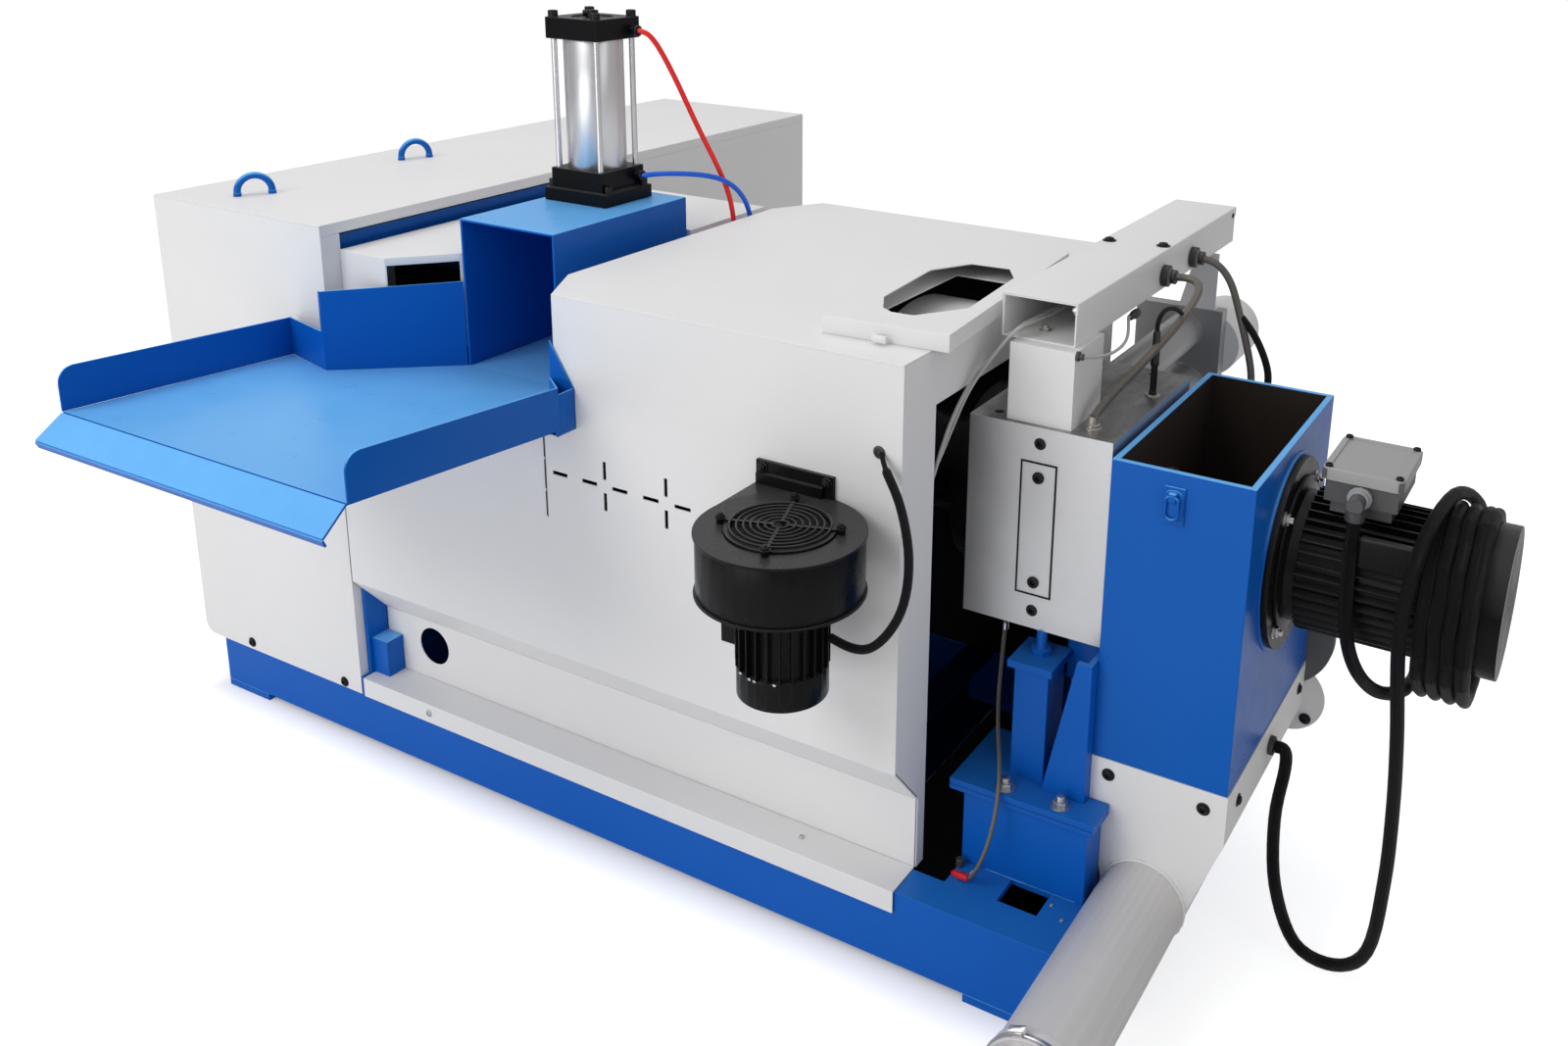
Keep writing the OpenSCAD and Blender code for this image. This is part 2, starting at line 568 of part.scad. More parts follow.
// Pedestal, post and bracket
ped_y0 = die_y0 - 112;
ped_y1 = die_y0 + 88;
ped_z = 357;
post_x = deck_x0 + 64;
post_y = die_y0 - 40;
module pedestal() color(blue) place() difference() {
    union() {
        block(deck_x0, base_l - 2, ped_y0 + 8, ped_y1 - 8, deck_z, ped_z - 23);
        block(deck_x0 - 28, base_l + 11, ped_y0, ped_y1, ped_z - 23, ped_z);
    }
    block(box_x0 - 5, box_x0 + 80, box_y0 - 4, ped_y1 + 62, deck_z - 1, ped_z + 43);
}
module die_post() {
    cap_z = die_z0 - 63;
    block(post_x, post_x + 68, post_y, post_y + 80, ped_z, cap_z);
    block(post_x - 12, post_x + 78, post_y - 10, post_y + 90, cap_z, cap_z + 15);
    translate([post_x + 33, post_y + 44, cap_z + 15]) cylinder(h = 12, r = 20, $fn = 6);
    translate([post_x + 33, post_y + 44, cap_z + 27]) cylinder(h = die_z0 - cap_z - 27, r = 10, $fn = 24);
}
module box_bracket() {
    y0 = box_y0 - 30;
    along_y(y0, y0 + 12)
        polygon([[box_x0 - 86, ped_z], [box_x0, ped_z], [box_x0, die_z0 - 10], [box_x0 - 30, die_z0 - 10]]);
    block(box_x0 - 12, box_x0, y0 + 12, ped_y1 - 8, ped_z, die_z0 - 10);
}

module die_supports() color(blue) place() {
    die_post();
    box_bracket();
}

// Cutter box, hood and discharge pipe
module cutter_box() color(blue) place() difference() {
    block(box_x0, box_x1, box_y0, box_y1, box_z0, box_z1);
    block(box_x0 + box_t, box_x1 - box_t, box_y0 + box_t, box_y1 - box_t, box_z0 - 1, box_z1 + 1);
}
module cutter_rotor() color(steel) place() {
    rod_x(box_x0 + box_t, box_x0 + box_t + 10, motor_y, motor_z, 105);
    rod_x(box_x0 + box_t + 16, box_x0 + box_t + 46, motor_y, motor_z, 40);
    rod_x(box_x0 + box_t + 46, box_x1 - box_t, motor_y, motor_z, 20);
    for (a = [0 : 90 : 270]) translate([box_x0 + box_t + 11, motor_y, motor_z]) rotate([a, 0, 0])
        translate([0, -6, 30]) cube([22, 12, 52]);
}
module box_latch() color(blue) place() {
    block(box_x0 + 98, box_x0 + 136, box_y0 - 4, box_y0, box_z1 - 95, box_z1 - 25);
    block(box_x0 + 106, box_x0 + 128, box_y0 - 12, box_y0 - 4, box_z1 - 83, box_z1 - 43);
}
function hood_arc(r) = [for (a = [180 : 7.5 : 360]) [pipe_x + r * cos(a), pipe_z + r * sin(a)]];
module hood_front_shape(g) {
    polygon(concat([[box_x0 + g, box_z0], [box_x0 + g, hood_low]], hood_arc(pipe_d / 2 - g),
        [[box_x1 + 2 - g, hood_low], [box_x1 + 2 - g, box_z0]]));
}
module hood_side_shape(g) {
    polygon([[box_y0 - 2 + g, box_z0], [box_y1 + 2 - g, box_z0], [box_y1 + 2 - g, hood_low - 10],
        [box_y0 + 207 - g, pipe_z - pipe_d / 2 + g], [box_y0 - 2 + g, pipe_z - pipe_d / 2 + g]]);
}
module hood_form(g) intersection() {
    along_y(box_y0 - 10, box_y1 + 10) hood_front_shape(g);
    along_x(box_x0 - 10, box_x1 + 10) hood_side_shape(g);
}
module discharge_hood() color(white) place() difference() {
    hood_form(0);
    translate([0, 0, 0.1]) hood_form(4);
    rod_y(pipe_x, box_y0 - 20, box_y0 + 3, pipe_z, pipe_d / 2 - 5);
}
module discharge_pipe() color(steel) place() difference() {
    union() {
        rod_y(pipe_x, box_y0 - 2 - pipe_l, box_y0 + 78 - pipe_l, pipe_z, pipe_d / 2 - 2);
        rod_y(pipe_x, box_y0 + 78 - pipe_l, box_y0 - 2, pipe_z, pipe_d / 2);
        for (y = [-250, -290]) rod_y(pipe_x, y - 34, y, pipe_z, pipe_d / 2 + 4);
    }
    rod_y(pipe_x, box_y0 - 3 - pipe_l, box_y0 - 1, pipe_z, pipe_d / 2 - 4);
}

// Cutter motor with its cable
module motor_flange() color(black) place() difference() {
    rod_x(box_x1, box_x1 + 16, motor_y, motor_z, motor_flange_d / 2);
    for (a = [45 : 90 : 315]) translate([0, motor_y + 155 * cos(a), motor_z + 155 * sin(a)])
        rod_x(box_x1 - 1, box_x1 + 20, 0, 0, 9);
}
module cutter_motor() color(black) place() {
    x0 = box_x1 + 44;
    rod_x(box_x1 + 16, x0, motor_y, motor_z, 118);
    translate([x0, motor_y, motor_z]) rotate([0, 90, 0]) linear_extrude(240) union() {
        circle(motor_d / 2 - 18);
        for (a = [0 : 9 : 351]) rotate([0, 0, a]) translate([motor_d / 2 - 20, -1.6]) square([20, 3.2]);
    }
    rod_x(x0 + 240, x0 + 340, motor_y, motor_z, motor_d / 2 + 4);
}
term_x = box_x1 + 134;
module terminal_box() color(grey) place() {
    z0 = motor_z + motor_d / 2;
    block(term_x - 52, term_x + 52, motor_y - 70, motor_y + 70, z0 - 3, z0 + 20);
    block(term_x - 62, term_x + 62, motor_y - 82, motor_y + 80, z0 + 20, z0 + 62);
    block(term_x - 68, term_x + 68, motor_y - 88, motor_y + 86, z0 + 62, z0 + 79);
    rod_y(term_x - 1, motor_y - 129, motor_y - 82, z0 + 38, 14);
    translate([term_x - 1, motor_y - 115, z0 + 7]) cylinder(h = 31, r = 14);
}
module motor_conduit() color(black) place() {
    tube(smooth(motor_loop, 3), cable_r, 8, [1, 0.1, 0.1]);
    tube(smooth(gland_hose, 2), cable_r, 8, [1, 0.1, 0.1]);
}
module cable_coil() color(black) place() translate([coil_x, motor_y, coil_z]) rotate([0, 90, 0])
    rotate_extrude($fn = 48) for (i = [0 : 4]) translate([coil_r, 23.5 * i]) circle(cable_r, $fn = 8);
module sensor_cable() color(steel) place() tube(smooth(sensor_route, 2), 4, 8, [1, 0.2, 0.1]);

foot_plates();
base_rails();
base_cross_rails();
die_end_deck();
cabinet_base_frame();
cabinet_front_panel();
cabinet_side_panels();
cabinet_roof();
cabinet_beam();
lifting_eyes();
gearbox();
gearbox_cover();
throat_hood();
cylinder_foot();
cylinder_tube();
tie_rods();
cylinder_head();
red_air_hose();
blue_air_hose();
tray_floor();
tray_walls();
housing_front();
housing_skirt();
housing_rear();
housing_top();
housing_left_side();
housing_end_frame();
access_lid();
extruder_barrel();
barrel_jacket();
sill_cover();
corner_post();
blower_scroll();
blower_guard();
blower_motor();
blower_conduit();
die_block();
die_cover_strip();
cable_beam();
hose_fittings();
beam_hoses();
changer_cylinder();
changer_tail();
pedestal();
die_supports();
cutter_box();
cutter_rotor();
box_latch();
discharge_hood();
discharge_pipe();
motor_flange();
cutter_motor();
terminal_box();
cable_coil();
motor_conduit();
sensor_cable();
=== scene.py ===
# %% [markdown]
# # A plastic pelletizing machine, dressed in Blender
# The CAD model already holds every rigid piece at its real size. This lesson puts the camera
# where the photographer stood, lays the cords, gives each piece a painted, ground or polished
# finish, and adds the small things that CAD leaves out: bolts, nuts, clips, grilles and wires.

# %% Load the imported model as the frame
import bpy, bmesh, math, json
from mathutils import Vector, Matrix


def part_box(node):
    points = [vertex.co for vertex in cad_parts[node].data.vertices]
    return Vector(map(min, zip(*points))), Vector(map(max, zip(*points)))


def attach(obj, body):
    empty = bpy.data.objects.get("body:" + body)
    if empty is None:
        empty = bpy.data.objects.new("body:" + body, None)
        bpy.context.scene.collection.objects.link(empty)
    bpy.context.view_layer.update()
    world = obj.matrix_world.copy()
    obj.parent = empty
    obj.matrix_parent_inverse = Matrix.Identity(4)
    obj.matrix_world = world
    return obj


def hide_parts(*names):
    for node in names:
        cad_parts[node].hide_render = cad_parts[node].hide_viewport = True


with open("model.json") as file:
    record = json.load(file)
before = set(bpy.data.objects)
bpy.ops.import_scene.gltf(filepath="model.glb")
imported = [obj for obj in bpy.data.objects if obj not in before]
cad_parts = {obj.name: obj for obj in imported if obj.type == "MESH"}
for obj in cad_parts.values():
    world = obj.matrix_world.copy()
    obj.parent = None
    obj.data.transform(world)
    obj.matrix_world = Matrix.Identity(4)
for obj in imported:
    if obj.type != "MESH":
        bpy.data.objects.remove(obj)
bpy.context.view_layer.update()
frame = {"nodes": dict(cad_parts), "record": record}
nodes = frame["nodes"]

# %% [markdown]
# The part's source is written in millimetres from the corner of the base, and its origin is the
# middle of the front left foot. One helper turns such a point into Blender's metres, so every
# place below can be compared with the source.

# %% From source millimetres to metres
CORNER = Vector((-74.0, -75.0, 0.0))

def at(x, y, z):
    return (Vector((x, y, z)) + CORNER) / 1000

print("base corner sits at", tuple(round(v, 3) for v in at(0, 0, 0)))

# %% [markdown]
# The camera was found from the photograph's vanishing points. Its rows say which way the
# picture's right, down and depth point in the machine's frame. A real lens holder that is
# shifted a little keeps the picture's edge where the photographer cut it.

# %% Camera at the photographer's place
def aim_camera():
    data = bpy.data.cameras.new("Camera")
    cam = bpy.data.objects.new("Camera", data)
    bpy.context.scene.collection.objects.link(cam)
    right = Vector((0.8665, 0.4988, 0.0177)).normalized()
    down = Vector((0.1522, -0.2302, -0.9612)).normalized()
    ahead = right.cross(down).normalized()
    turn = Matrix((right, -down, -ahead)).transposed()
    cam.matrix_world = Matrix.Translation(at(3010.94, -1981.58, 1988.24)) @ turn.to_4x4()
    data.sensor_width = 36.0
    data.lens = 1459.911 / 1600 * 36.0
    data.shift_x = -(900.875 - 800.0) / 1600
    data.shift_y = -(533.5 - 297.166) / 1600
    data.clip_end = 60.0
    bpy.context.scene.camera = cam
    return cam

camera = aim_camera()
print("camera lens", round(camera.data.lens, 2), "mm")

# %% [markdown]
# A cord keeps its length, so its route comes first. The same round points stand in the part's
# source. A Catmull-Rom curve runs through them, a few passes of averaging take out its corners,
# and a Blender curve with a round bevel follows the finely stepped points. The bevel is one
# metre deep and each point's radius scales it down to the cord's own, because Blender adds that
# radius to the cord's box. The bevel's own UV map runs along the cord, for the ribs and braid.

# %% Smooth routes and cords
def smooth(points, steps, relax=0):
    out = []
    for i in range(len(points) - 1):
        a, b, c, d = (Vector(points[max(i - 1, 0)]), Vector(points[i]), Vector(points[i + 1]),
                      Vector(points[min(i + 2, len(points) - 1)]))
        for k in range(steps):
            t = k / steps
            out.append(0.5 * (2 * b + (c - a) * t + (2 * a - 5 * b + 4 * c - d) * t ** 2
                              + (3 * b - a - 3 * c + d) * t ** 3))
    out.append(Vector(points[-1]))
    for _ in range(relax):
        out = [out[0]] + [(a + 2 * b + c) / 4 for a, b, c in zip(out, out[1:], out[2:])] + [out[-1]]
    return out

def length_of(path):
    return sum((b - a).length for a, b in zip(path, path[1:]))

def lay_cord(name, points, diameter, steps=6, ready=False, bare=0):
    path = points if ready else [at(*p) for p in smooth(points, steps, 6)]
    data = bpy.data.curves.new(name, "CURVE")
    data.dimensions = "3D"
    line = data.splines.new("POLY")
    line.points.add(len(path) - 1)
    for spot, p in zip(line.points, path):
        spot.co = (*p, 1.0)
        spot.radius = diameter / 2
    for spot in list(line.points)[len(path) - bare:]:
        spot.radius *= 0.55
    data.bevel_depth = 1.0
    data.bevel_resolution = 4
    data.use_fill_caps = True
    cord = bpy.data.objects.new(name, data)
    bpy.context.scene.collection.objects.link(cord)
    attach(cord, "root")
    print(name, "is", round(length_of(path), 3), "m long")
    return cord, path

# %% [markdown]
# The motor cable leaves an elbow under the terminal box, drops in front of the motor, passes under it and is wound five
# times round the fins. The spare end then crosses back over the turns, hangs in a long loop almost to the floor and
# rises to a gland on the hood. It is one cord, so it is drawn as one curve: listed points, five turns worked out from
# the coil's radius, and the hanging points of the part's source.

# %% The motor cable
COIL_X, COIL_Y, COIL_Z, COIL_R, CABLE_D = 2716.0, 484.0, 796.0, 164.0, 24.0

def turn_point(x, degrees, extra=0.0):
    a = math.radians(degrees)
    r = COIL_R + extra
    return (x, COIL_Y - r * math.cos(a), COIL_Z - r * math.sin(a))

def motor_cable_points():
    points = [(2607, 369, 954), (2607, 366, 900), (2610, 352, 850), (2616, 338, 790), (2628, 331, 735),
              (2648, 338, 688), (2674, 362, 652), (2700, 396, 636), (2718, 428, 636)]
    pts = smooth(points, 5, 4)[:-1]
    for k in range(3, 5 * 20 + 9):
        d = 30 + 18 * k
        x = COIL_X + 4 + 23.5 * min(max((d - 60) / 360, 0), 4)
        wobble = 1.2 * math.sin(3.1 * k) if 12 < k < 98 else 0
        pts.append(Vector(turn_point(x + wobble, d)))
    cross = [turn_point(2800, 30 + 18 * 109, 9), turn_point(2775, 30 + 18 * 111, 22),
             turn_point(2745, 30 + 18 * 113, 25), turn_point(2722, 30 + 18 * 115.4, 25),
             (2712, 318, 845), (2712, 302, 790), (2716, 308, 720), (2726, 322, 600), (2732, 345, 450),
             (2732, 362, 284), (2717, 375, 120), (2661, 390, 52), (2582, 410, 52), (2530, 430, 147),
             (2510, 460, 268), (2512, 496, 360), (2506, 505, 392), (2489, 505, 395)]
    pts += smooth(cross, 5)
    return [at(*p) for p in pts]

motor_cable, motor_path = lay_cord("motor_cable", motor_cable_points(), CABLE_D / 1000, ready=True)
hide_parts("motor_conduit", "cable_coil")
length_of(motor_path)

# %% The other cords
BLOWER = [[1868, -130, 752], [1914, -136, 748], [1955, -130, 760], [1988, -100, 819],
          [1984, -70, 904], [1950, -45, 985], [1914, -32, 1032], [1894, -13, 1053]]
SENSOR = [[2004, 290, 650], [2004, 286, 600], [2006, 268, 489], [2028, 222, 433],
          [2060, 166, 400], [2080, 116, 345], [2076, 86, 270], [2056, 76, 214], [2042, 90, 194]]
RED = [[936.5, 530, 1660], [950, 531, 1660], [973, 548, 1644], [996, 592, 1556], [1016, 652, 1430],
       [1046, 720, 1285], [1052, 738, 1180], [1048, 745, 1110]]
BLUE = [[936.5, 530, 1334], [952, 531, 1335], [990, 562, 1339], [1048, 680, 1318], [1068, 752, 1262],
        [1068, 785, 1190], [1062, 790, 1110]]
HOSE_A = [[2140, 750, 1226], [2170, 746, 1229], [2200, 718, 1226], [2210, 660, 1208],
          [2198, 570, 1168], [2175, 440, 1122], [2158, 345, 1090], [2153, 300, 1070]]
HOSE_B = [[2140, 930, 1226], [2172, 936, 1216], [2202, 945, 1176], [2224, 950, 1108], [2246, 950, 1040],
          [2262, 950, 970], [2254, 950, 910], [2222, 950, 872], [2180, 950, 860], [2142, 950, 860]]

def free_cord(name, route, mm, bare=0):
    cord, path = lay_cord(name, route, mm / 1000, bare=bare)
    length_of(path)
    return cord

blower_cord = free_cord("blower_cord", BLOWER, 16, bare=6)
sensor_cord = free_cord("sensor_cord", SENSOR, 8)
red_hose = free_cord("red_hose", RED, 12)
blue_hose = free_cord("blue_hose", BLUE, 12)
hose_a = free_cord("braided_hose_front", HOSE_A, 16)
hose_b = free_cord("braided_hose_rear", HOSE_B, 16)
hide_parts("blower_conduit")
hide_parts("sensor_cable")
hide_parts("red_air_hose")
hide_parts("blue_air_hose")
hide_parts("beam_hoses")
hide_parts("beam_hoses")

# %% [markdown]
# The machine was cut out against white, with a soft grey shadow under it. The world and the floor look white only to
# the camera, so the paint itself is lit by a moderate world and four large soft lamps, and stays below pure white.

# %% World, floor and lamps
def light_studio():
    world = bpy.data.worlds.new("Studio")
    world.use_nodes = True
    bpy.context.scene.world = world
    tree = world.node_tree
    tree.nodes.clear()
    out = tree.nodes.new("ShaderNodeOutputWorld")
    lit = tree.nodes.new("ShaderNodeBackground")
    lit.inputs["Color"].default_value = (0.98, 0.985, 1.0, 1)
    lit.inputs["Strength"].default_value = 0.44
    seen = tree.nodes.new("ShaderNodeBackground")
    seen.inputs["Color"].default_value = (1, 1, 1, 1)
    seen.inputs["Strength"].default_value = 1.02
    path = tree.nodes.new("ShaderNodeLightPath")
    mix = tree.nodes.new("ShaderNodeMixShader")
    tree.links.new(path.outputs["Is Camera Ray"], mix.inputs["Fac"])
    tree.links.new(lit.outputs[0], mix.inputs[1])
    tree.links.new(seen.outputs[0], mix.inputs[2])
    tree.links.new(mix.outputs[0], out.inputs["Surface"])

def soft_lamp(name, place, target, size, watts, tint=(1, 1, 1)):
    data = bpy.data.lights.new(name, "AREA")
    data.shape = "RECTANGLE"
    data.size, data.size_y = size
    data.energy = watts
    data.color = tint
    lamp = bpy.data.objects.new(name, data)
    bpy.context.scene.collection.objects.link(lamp)
    lamp.location = place
    lamp.rotation_euler = (Vector(target) - Vector(place)).to_track_quat("-Z", "Y").to_euler()
    return lamp

light_studio()
bpy.context.scene.view_settings.view_transform = "Standard"
soft_lamp("key_lamp", (-0.4, -3.9, 4.2), (1.2, 0.4, 0.7), (3.2, 2.6), 103)
soft_lamp("right_lamp", (5.6, -1.4, 2.4), (1.6, 0.4, 0.7), (2.2, 2.2), 13)
soft_lamp("top_lamp", (0.1, 1.2, 5.0), (0.9, 0.5, 0.6), (4.0, 4.0), 86)
soft_lamp("low_lamp", (0.4, -4.6, 0.9), (1.0, 0.0, 0.4), (3.6, 1.2), 36)
bpy.ops.object.select_all(action="DESELECT")
bpy.ops.mesh.primitive_plane_add(size=40, location=(1.2, 0.5, 0))
floor = bpy.context.object
floor.name = "floor"
print("studio ready")

# %% [markdown]
# Shader maths reads best as plain expressions. A small class wraps one socket; adding or
# multiplying two of them adds the Math node for it. Any other node comes from one method.

# %% A socket that does maths
class Sock:
    def __init__(self, tree, socket):
        self.tree, self.socket = tree, socket

    def feed(self, target, value):
        if isinstance(value, Sock):
            self.tree.links.new(value.socket, target)
        elif value is not None:
            target.default_value = value

    def math(self, operation, other=None, third=None, swap=False):
        node = self.tree.nodes.new("ShaderNodeMath")
        node.operation = operation
        pair = (other, self) if swap else (self, other)
        for target, value in zip(node.inputs, (*pair, third)):
            self.feed(target, value)
        return Sock(self.tree, node.outputs[0])

    def __add__(self, o): return self.math("ADD", o)
    def __radd__(self, o): return self.math("ADD", o)
    def __sub__(self, o): return self.math("SUBTRACT", o)
    def __rsub__(self, o): return self.math("SUBTRACT", o, swap=True)
    def __mul__(self, o): return self.math("MULTIPLY", o)
    def __rmul__(self, o): return self.math("MULTIPLY", o)
    def __truediv__(self, o): return self.math("DIVIDE", o)
    def __pow__(self, o): return self.math("POWER", o)
    def over(self, o): return self.math("GREATER_THAN", o)
    def clip(self):
        result = self.math("ADD", 0.0)
        result.socket.node.use_clamp = True
        return result

class Finish:
    def __init__(self, name, color, roughness=0.4, metallic=0.0, coat=0.0, specular=0.5):
        self.material = bpy.data.materials.new(name)
        self.material.use_nodes = True
        self.tree = self.material.node_tree
        self.shader = self.tree.nodes["Principled BSDF"]
        self.material.diffuse_color = (*color, 1)
        self.shader.inputs["Base Color"].default_value = (*color, 1)
        self.shader.inputs["Roughness"].default_value = roughness
        self.shader.inputs["Metallic"].default_value = metallic
        self.shader.inputs["Coat Weight"].default_value = coat
        self.shader.inputs["Specular IOR Level"].default_value = specular

    def node(self, kind, settings=None, output=0, **sockets):
        made = self.tree.nodes.new(kind)
        for key, value in (settings or {}).items():
            if key == "stops":
                ramp = made.color_ramp
                while len(ramp.elements) < len(value):
                    ramp.elements.new(0.5)
                for element, (place, shade) in zip(ramp.elements, value):
                    element.position = place
                    element.color = shade if len(shade) == 4 else (*shade, 1)
            else:
                setattr(made, key, value)
        for key, value in sockets.items():
            target = made.inputs[key.replace("_", " ")] if isinstance(key, str) else made.inputs[key]
            if isinstance(value, Sock):
                self.tree.links.new(value.socket, target)
            else:
                target.default_value = value
        return Sock(self.tree, made.outputs[output])

    def place(self, scale=(1, 1, 1), kind="Object", turn=(0, 0, 0)):
        coords = self.node("ShaderNodeTexCoord", output=kind)
        return self.node("ShaderNodeMapping", Vector=coords, Scale=scale, Rotation=turn)

    def noise(self, scale, detail=3.0, roughness=0.5, where=None, stretch=(1, 1, 1)):
        return self.node("ShaderNodeTexNoise", Vector=where or self.place(stretch), Scale=scale,
                         Detail=detail, Roughness=roughness)

    def blend(self, factor, a, b):
        made = self.tree.nodes.new("ShaderNodeMix")
        made.data_type = "RGBA"
        for target, value in ((made.inputs["Factor"], factor), (made.inputs[6], a), (made.inputs[7], b)):
            if isinstance(value, Sock):
                self.tree.links.new(value.socket, target)
            else:
                target.default_value = value if isinstance(value, float) else (*value[:3], 1)
        return Sock(self.tree, made.outputs[2])

    def feed_emission(self, node, strength):
        self.tree.links.new(strength.socket, node.inputs["Strength"])

    def set(self, name, value):
        self.tree.links.new(value.socket, self.shader.inputs[name])

    def bump(self, height, strength, distance):
        made = self.tree.nodes.new("ShaderNodeBump")
        made.inputs["Strength"].default_value = strength
        made.inputs["Distance"].default_value = distance
        self.tree.links.new(height.socket, made.inputs["Height"])
        self.tree.links.new(made.outputs[0], self.shader.inputs["Normal"])

# %% [markdown]
# The floor is a pale paper sweep. For the camera only, a little glow is added to it, so that it
# ends in the same pure white as the cut-out photograph. The glow fades out towards the base, measured with plain
# box-distance maths, and is gone under it: that paints a soft shadow round and under the machine.

# %% Floor finish
def floor_finish():
    f = Finish("pale_floor", (0.88, 0.88, 0.88), roughness=0.95, specular=0.0)
    glow = f.tree.nodes.new("ShaderNodeEmission")
    path = f.tree.nodes.new("ShaderNodeLightPath")
    low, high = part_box("base_rails")
    spot = f.node("ShaderNodeTexCoord", output="Object")
    parts = [f.node("ShaderNodeSeparateXYZ", output=k, Vector=spot) for k in (0, 1)]
    gap = [(parts[k] - ((low[k] + high[k]) / 2 - floor.location[k])).math("ABSOLUTE")
           - (high[k] - low[k]) / 2 for k in (0, 1)]
    # The glow weakens near the base and is gone under it: a painted shadow round the machine.
    painted_shadow_fade = (gap[0].math("MAXIMUM", gap[1]) * 7.0 + 0.22).clip()
    f.feed_emission(glow, painted_shadow_fade ** 0.6 * 0.62)
    both = f.tree.nodes.new("ShaderNodeAddShader")
    mix = f.tree.nodes.new("ShaderNodeMixShader")
    out = f.tree.nodes["Material Output"]
    f.tree.links.new(f.shader.outputs[0], both.inputs[0])
    f.tree.links.new(glow.outputs[0], both.inputs[1])
    f.tree.links.new(path.outputs["Is Camera Ray"], mix.inputs["Fac"])
    f.tree.links.new(f.shader.outputs[0], mix.inputs[1])
    f.tree.links.new(both.outputs[0], mix.inputs[2])
    f.tree.links.new(mix.outputs[0], out.inputs["Surface"])
    return f.material

floor.data.materials.append(floor_finish())

# %% [markdown]
# Powder paint is smooth but never perfect: a fine orange peel in the bump, and a slow drift in tone and gloss where
# hands and cloths have been. Upward faces can be painted paler, which stands for the light from above and, on black
# paint, for the sky's reflection; faces looking into the machine can be painted darker as shade.

# %% Painted sheet metal
def paint(name, color, roughness, drift=0.02, peel=0.10, specular=0.35, painted_top_light=None, inner=None, beyond=None):
    f = Finish(name, color, roughness=roughness, specular=specular)
    tone = f.noise(2.2, 4.0, 0.6)
    gloss_and_top_light_noise = f.noise(14.0, 5.0, 0.65)
    dark = tuple(c * (1 - 2.2 * drift) for c in color)
    light = tuple(min(1.0, c * (1 + drift) + drift * 0.2) for c in color)
    shade = f.blend(tone, dark, light)
    # Upward faces get a paler tone, broken by noise: painted light from above, and on black paint a painted reflection
    # of the sky.
    if painted_top_light:
        upward = f.node("ShaderNodeSeparateXYZ", output=2, Vector=f.node("ShaderNodeNewGeometry", output=1))
        shade = f.blend((upward * 1.9 - 0.5).clip() * (gloss_and_top_light_noise * 0.2 + 0.8), shade, painted_top_light)
    # Painted shade: faces turned towards -Y, into the machine, or points beyond a given place along X, turn to the
    # given dark colour.
    if inner:
        if beyond is None:
            rearward = f.node("ShaderNodeSeparateXYZ", output=1, Vector=f.node("ShaderNodeNewGeometry", output=1))
            painted_shade_mask = rearward * -3.0 - 0.3
        else:
            along = f.node("ShaderNodeSeparateXYZ", output=0, Vector=f.node("ShaderNodeTexCoord", output="Object"))
            painted_shade_mask = (along - beyond) * 4.0
        shade = f.blend(painted_shade_mask.clip(), shade, inner)
    f.set("Base Color", shade)
    f.set("Roughness", (gloss_and_top_light_noise * 0.16 + (roughness - 0.08)).clip())
    f.bump(f.noise(150.0, 2.0, 0.5), peel * 0.5, 0.0006)
    return f.material

white_paint = paint("white_paint", (0.79, 0.785, 0.78), 0.42)
blue_paint = paint("blue_paint", (0.0, 0.105, 0.47), 0.30, drift=0.03, peel=0.04, specular=0.16,
                   painted_top_light=(0.15, 0.47, 0.90))
black_paint = paint("black_paint", (0.003, 0.003, 0.0035), 0.28, drift=0.03, peel=0.12, specular=0.12,
                    painted_top_light=(0.045, 0.045, 0.047))
print("paints ready")

# %% Bare metals
def metal(name, color, roughness, brush=(1, 1, 1), fine=160.0, strength=0.06, oil_and_top_shade=None):
    f = Finish(name, color, roughness=roughness, metallic=1.0)
    lines = f.noise(fine, 3.0, 0.6, stretch=brush)
    cloud = f.noise(9.0, 4.0, 0.6)
    shade = f.blend(cloud, tuple(c * 0.86 for c in color), color)
    # Upward faces turn darker under a smear noise: partly real oil smudges, partly painted shade on the tops.
    if oil_and_top_shade:
        upward = f.node("ShaderNodeSeparateXYZ", output=2, Vector=f.node("ShaderNodeNewGeometry", output=1))
        smear = f.noise(16.0, 5.0, 0.7, stretch=(1.0, 0.35, 1.0))
        shade = f.blend((upward * 2.0 - 0.8).clip() * (smear * 1.5 - 0.05).clip(), shade, oil_and_top_shade)
    f.set("Base Color", shade)
    f.set("Roughness", (lines * 0.2 + cloud * 0.12 + (roughness - 0.14)).clip())
    f.bump(lines, strength, 0.0006)
    return f.material

polished = metal("polished_aluminium", (0.76, 0.76, 0.77), 0.32, brush=(1, 1, 0.04))
ground = metal("ground_steel", (0.74, 0.74, 0.75), 0.42, brush=(0.08, 1, 1), fine=260.0, strength=0.12,
               oil_and_top_shade=(0.16, 0.155, 0.15))
grey_metal = metal("grey_metal", (0.50, 0.50, 0.50), 0.5)

def plastic(name, color, roughness):
    f = Finish(name, color, roughness=roughness)
    f.set("Roughness", (f.noise(60.0) * 0.12 + (roughness - 0.06)).clip())
    return f.material

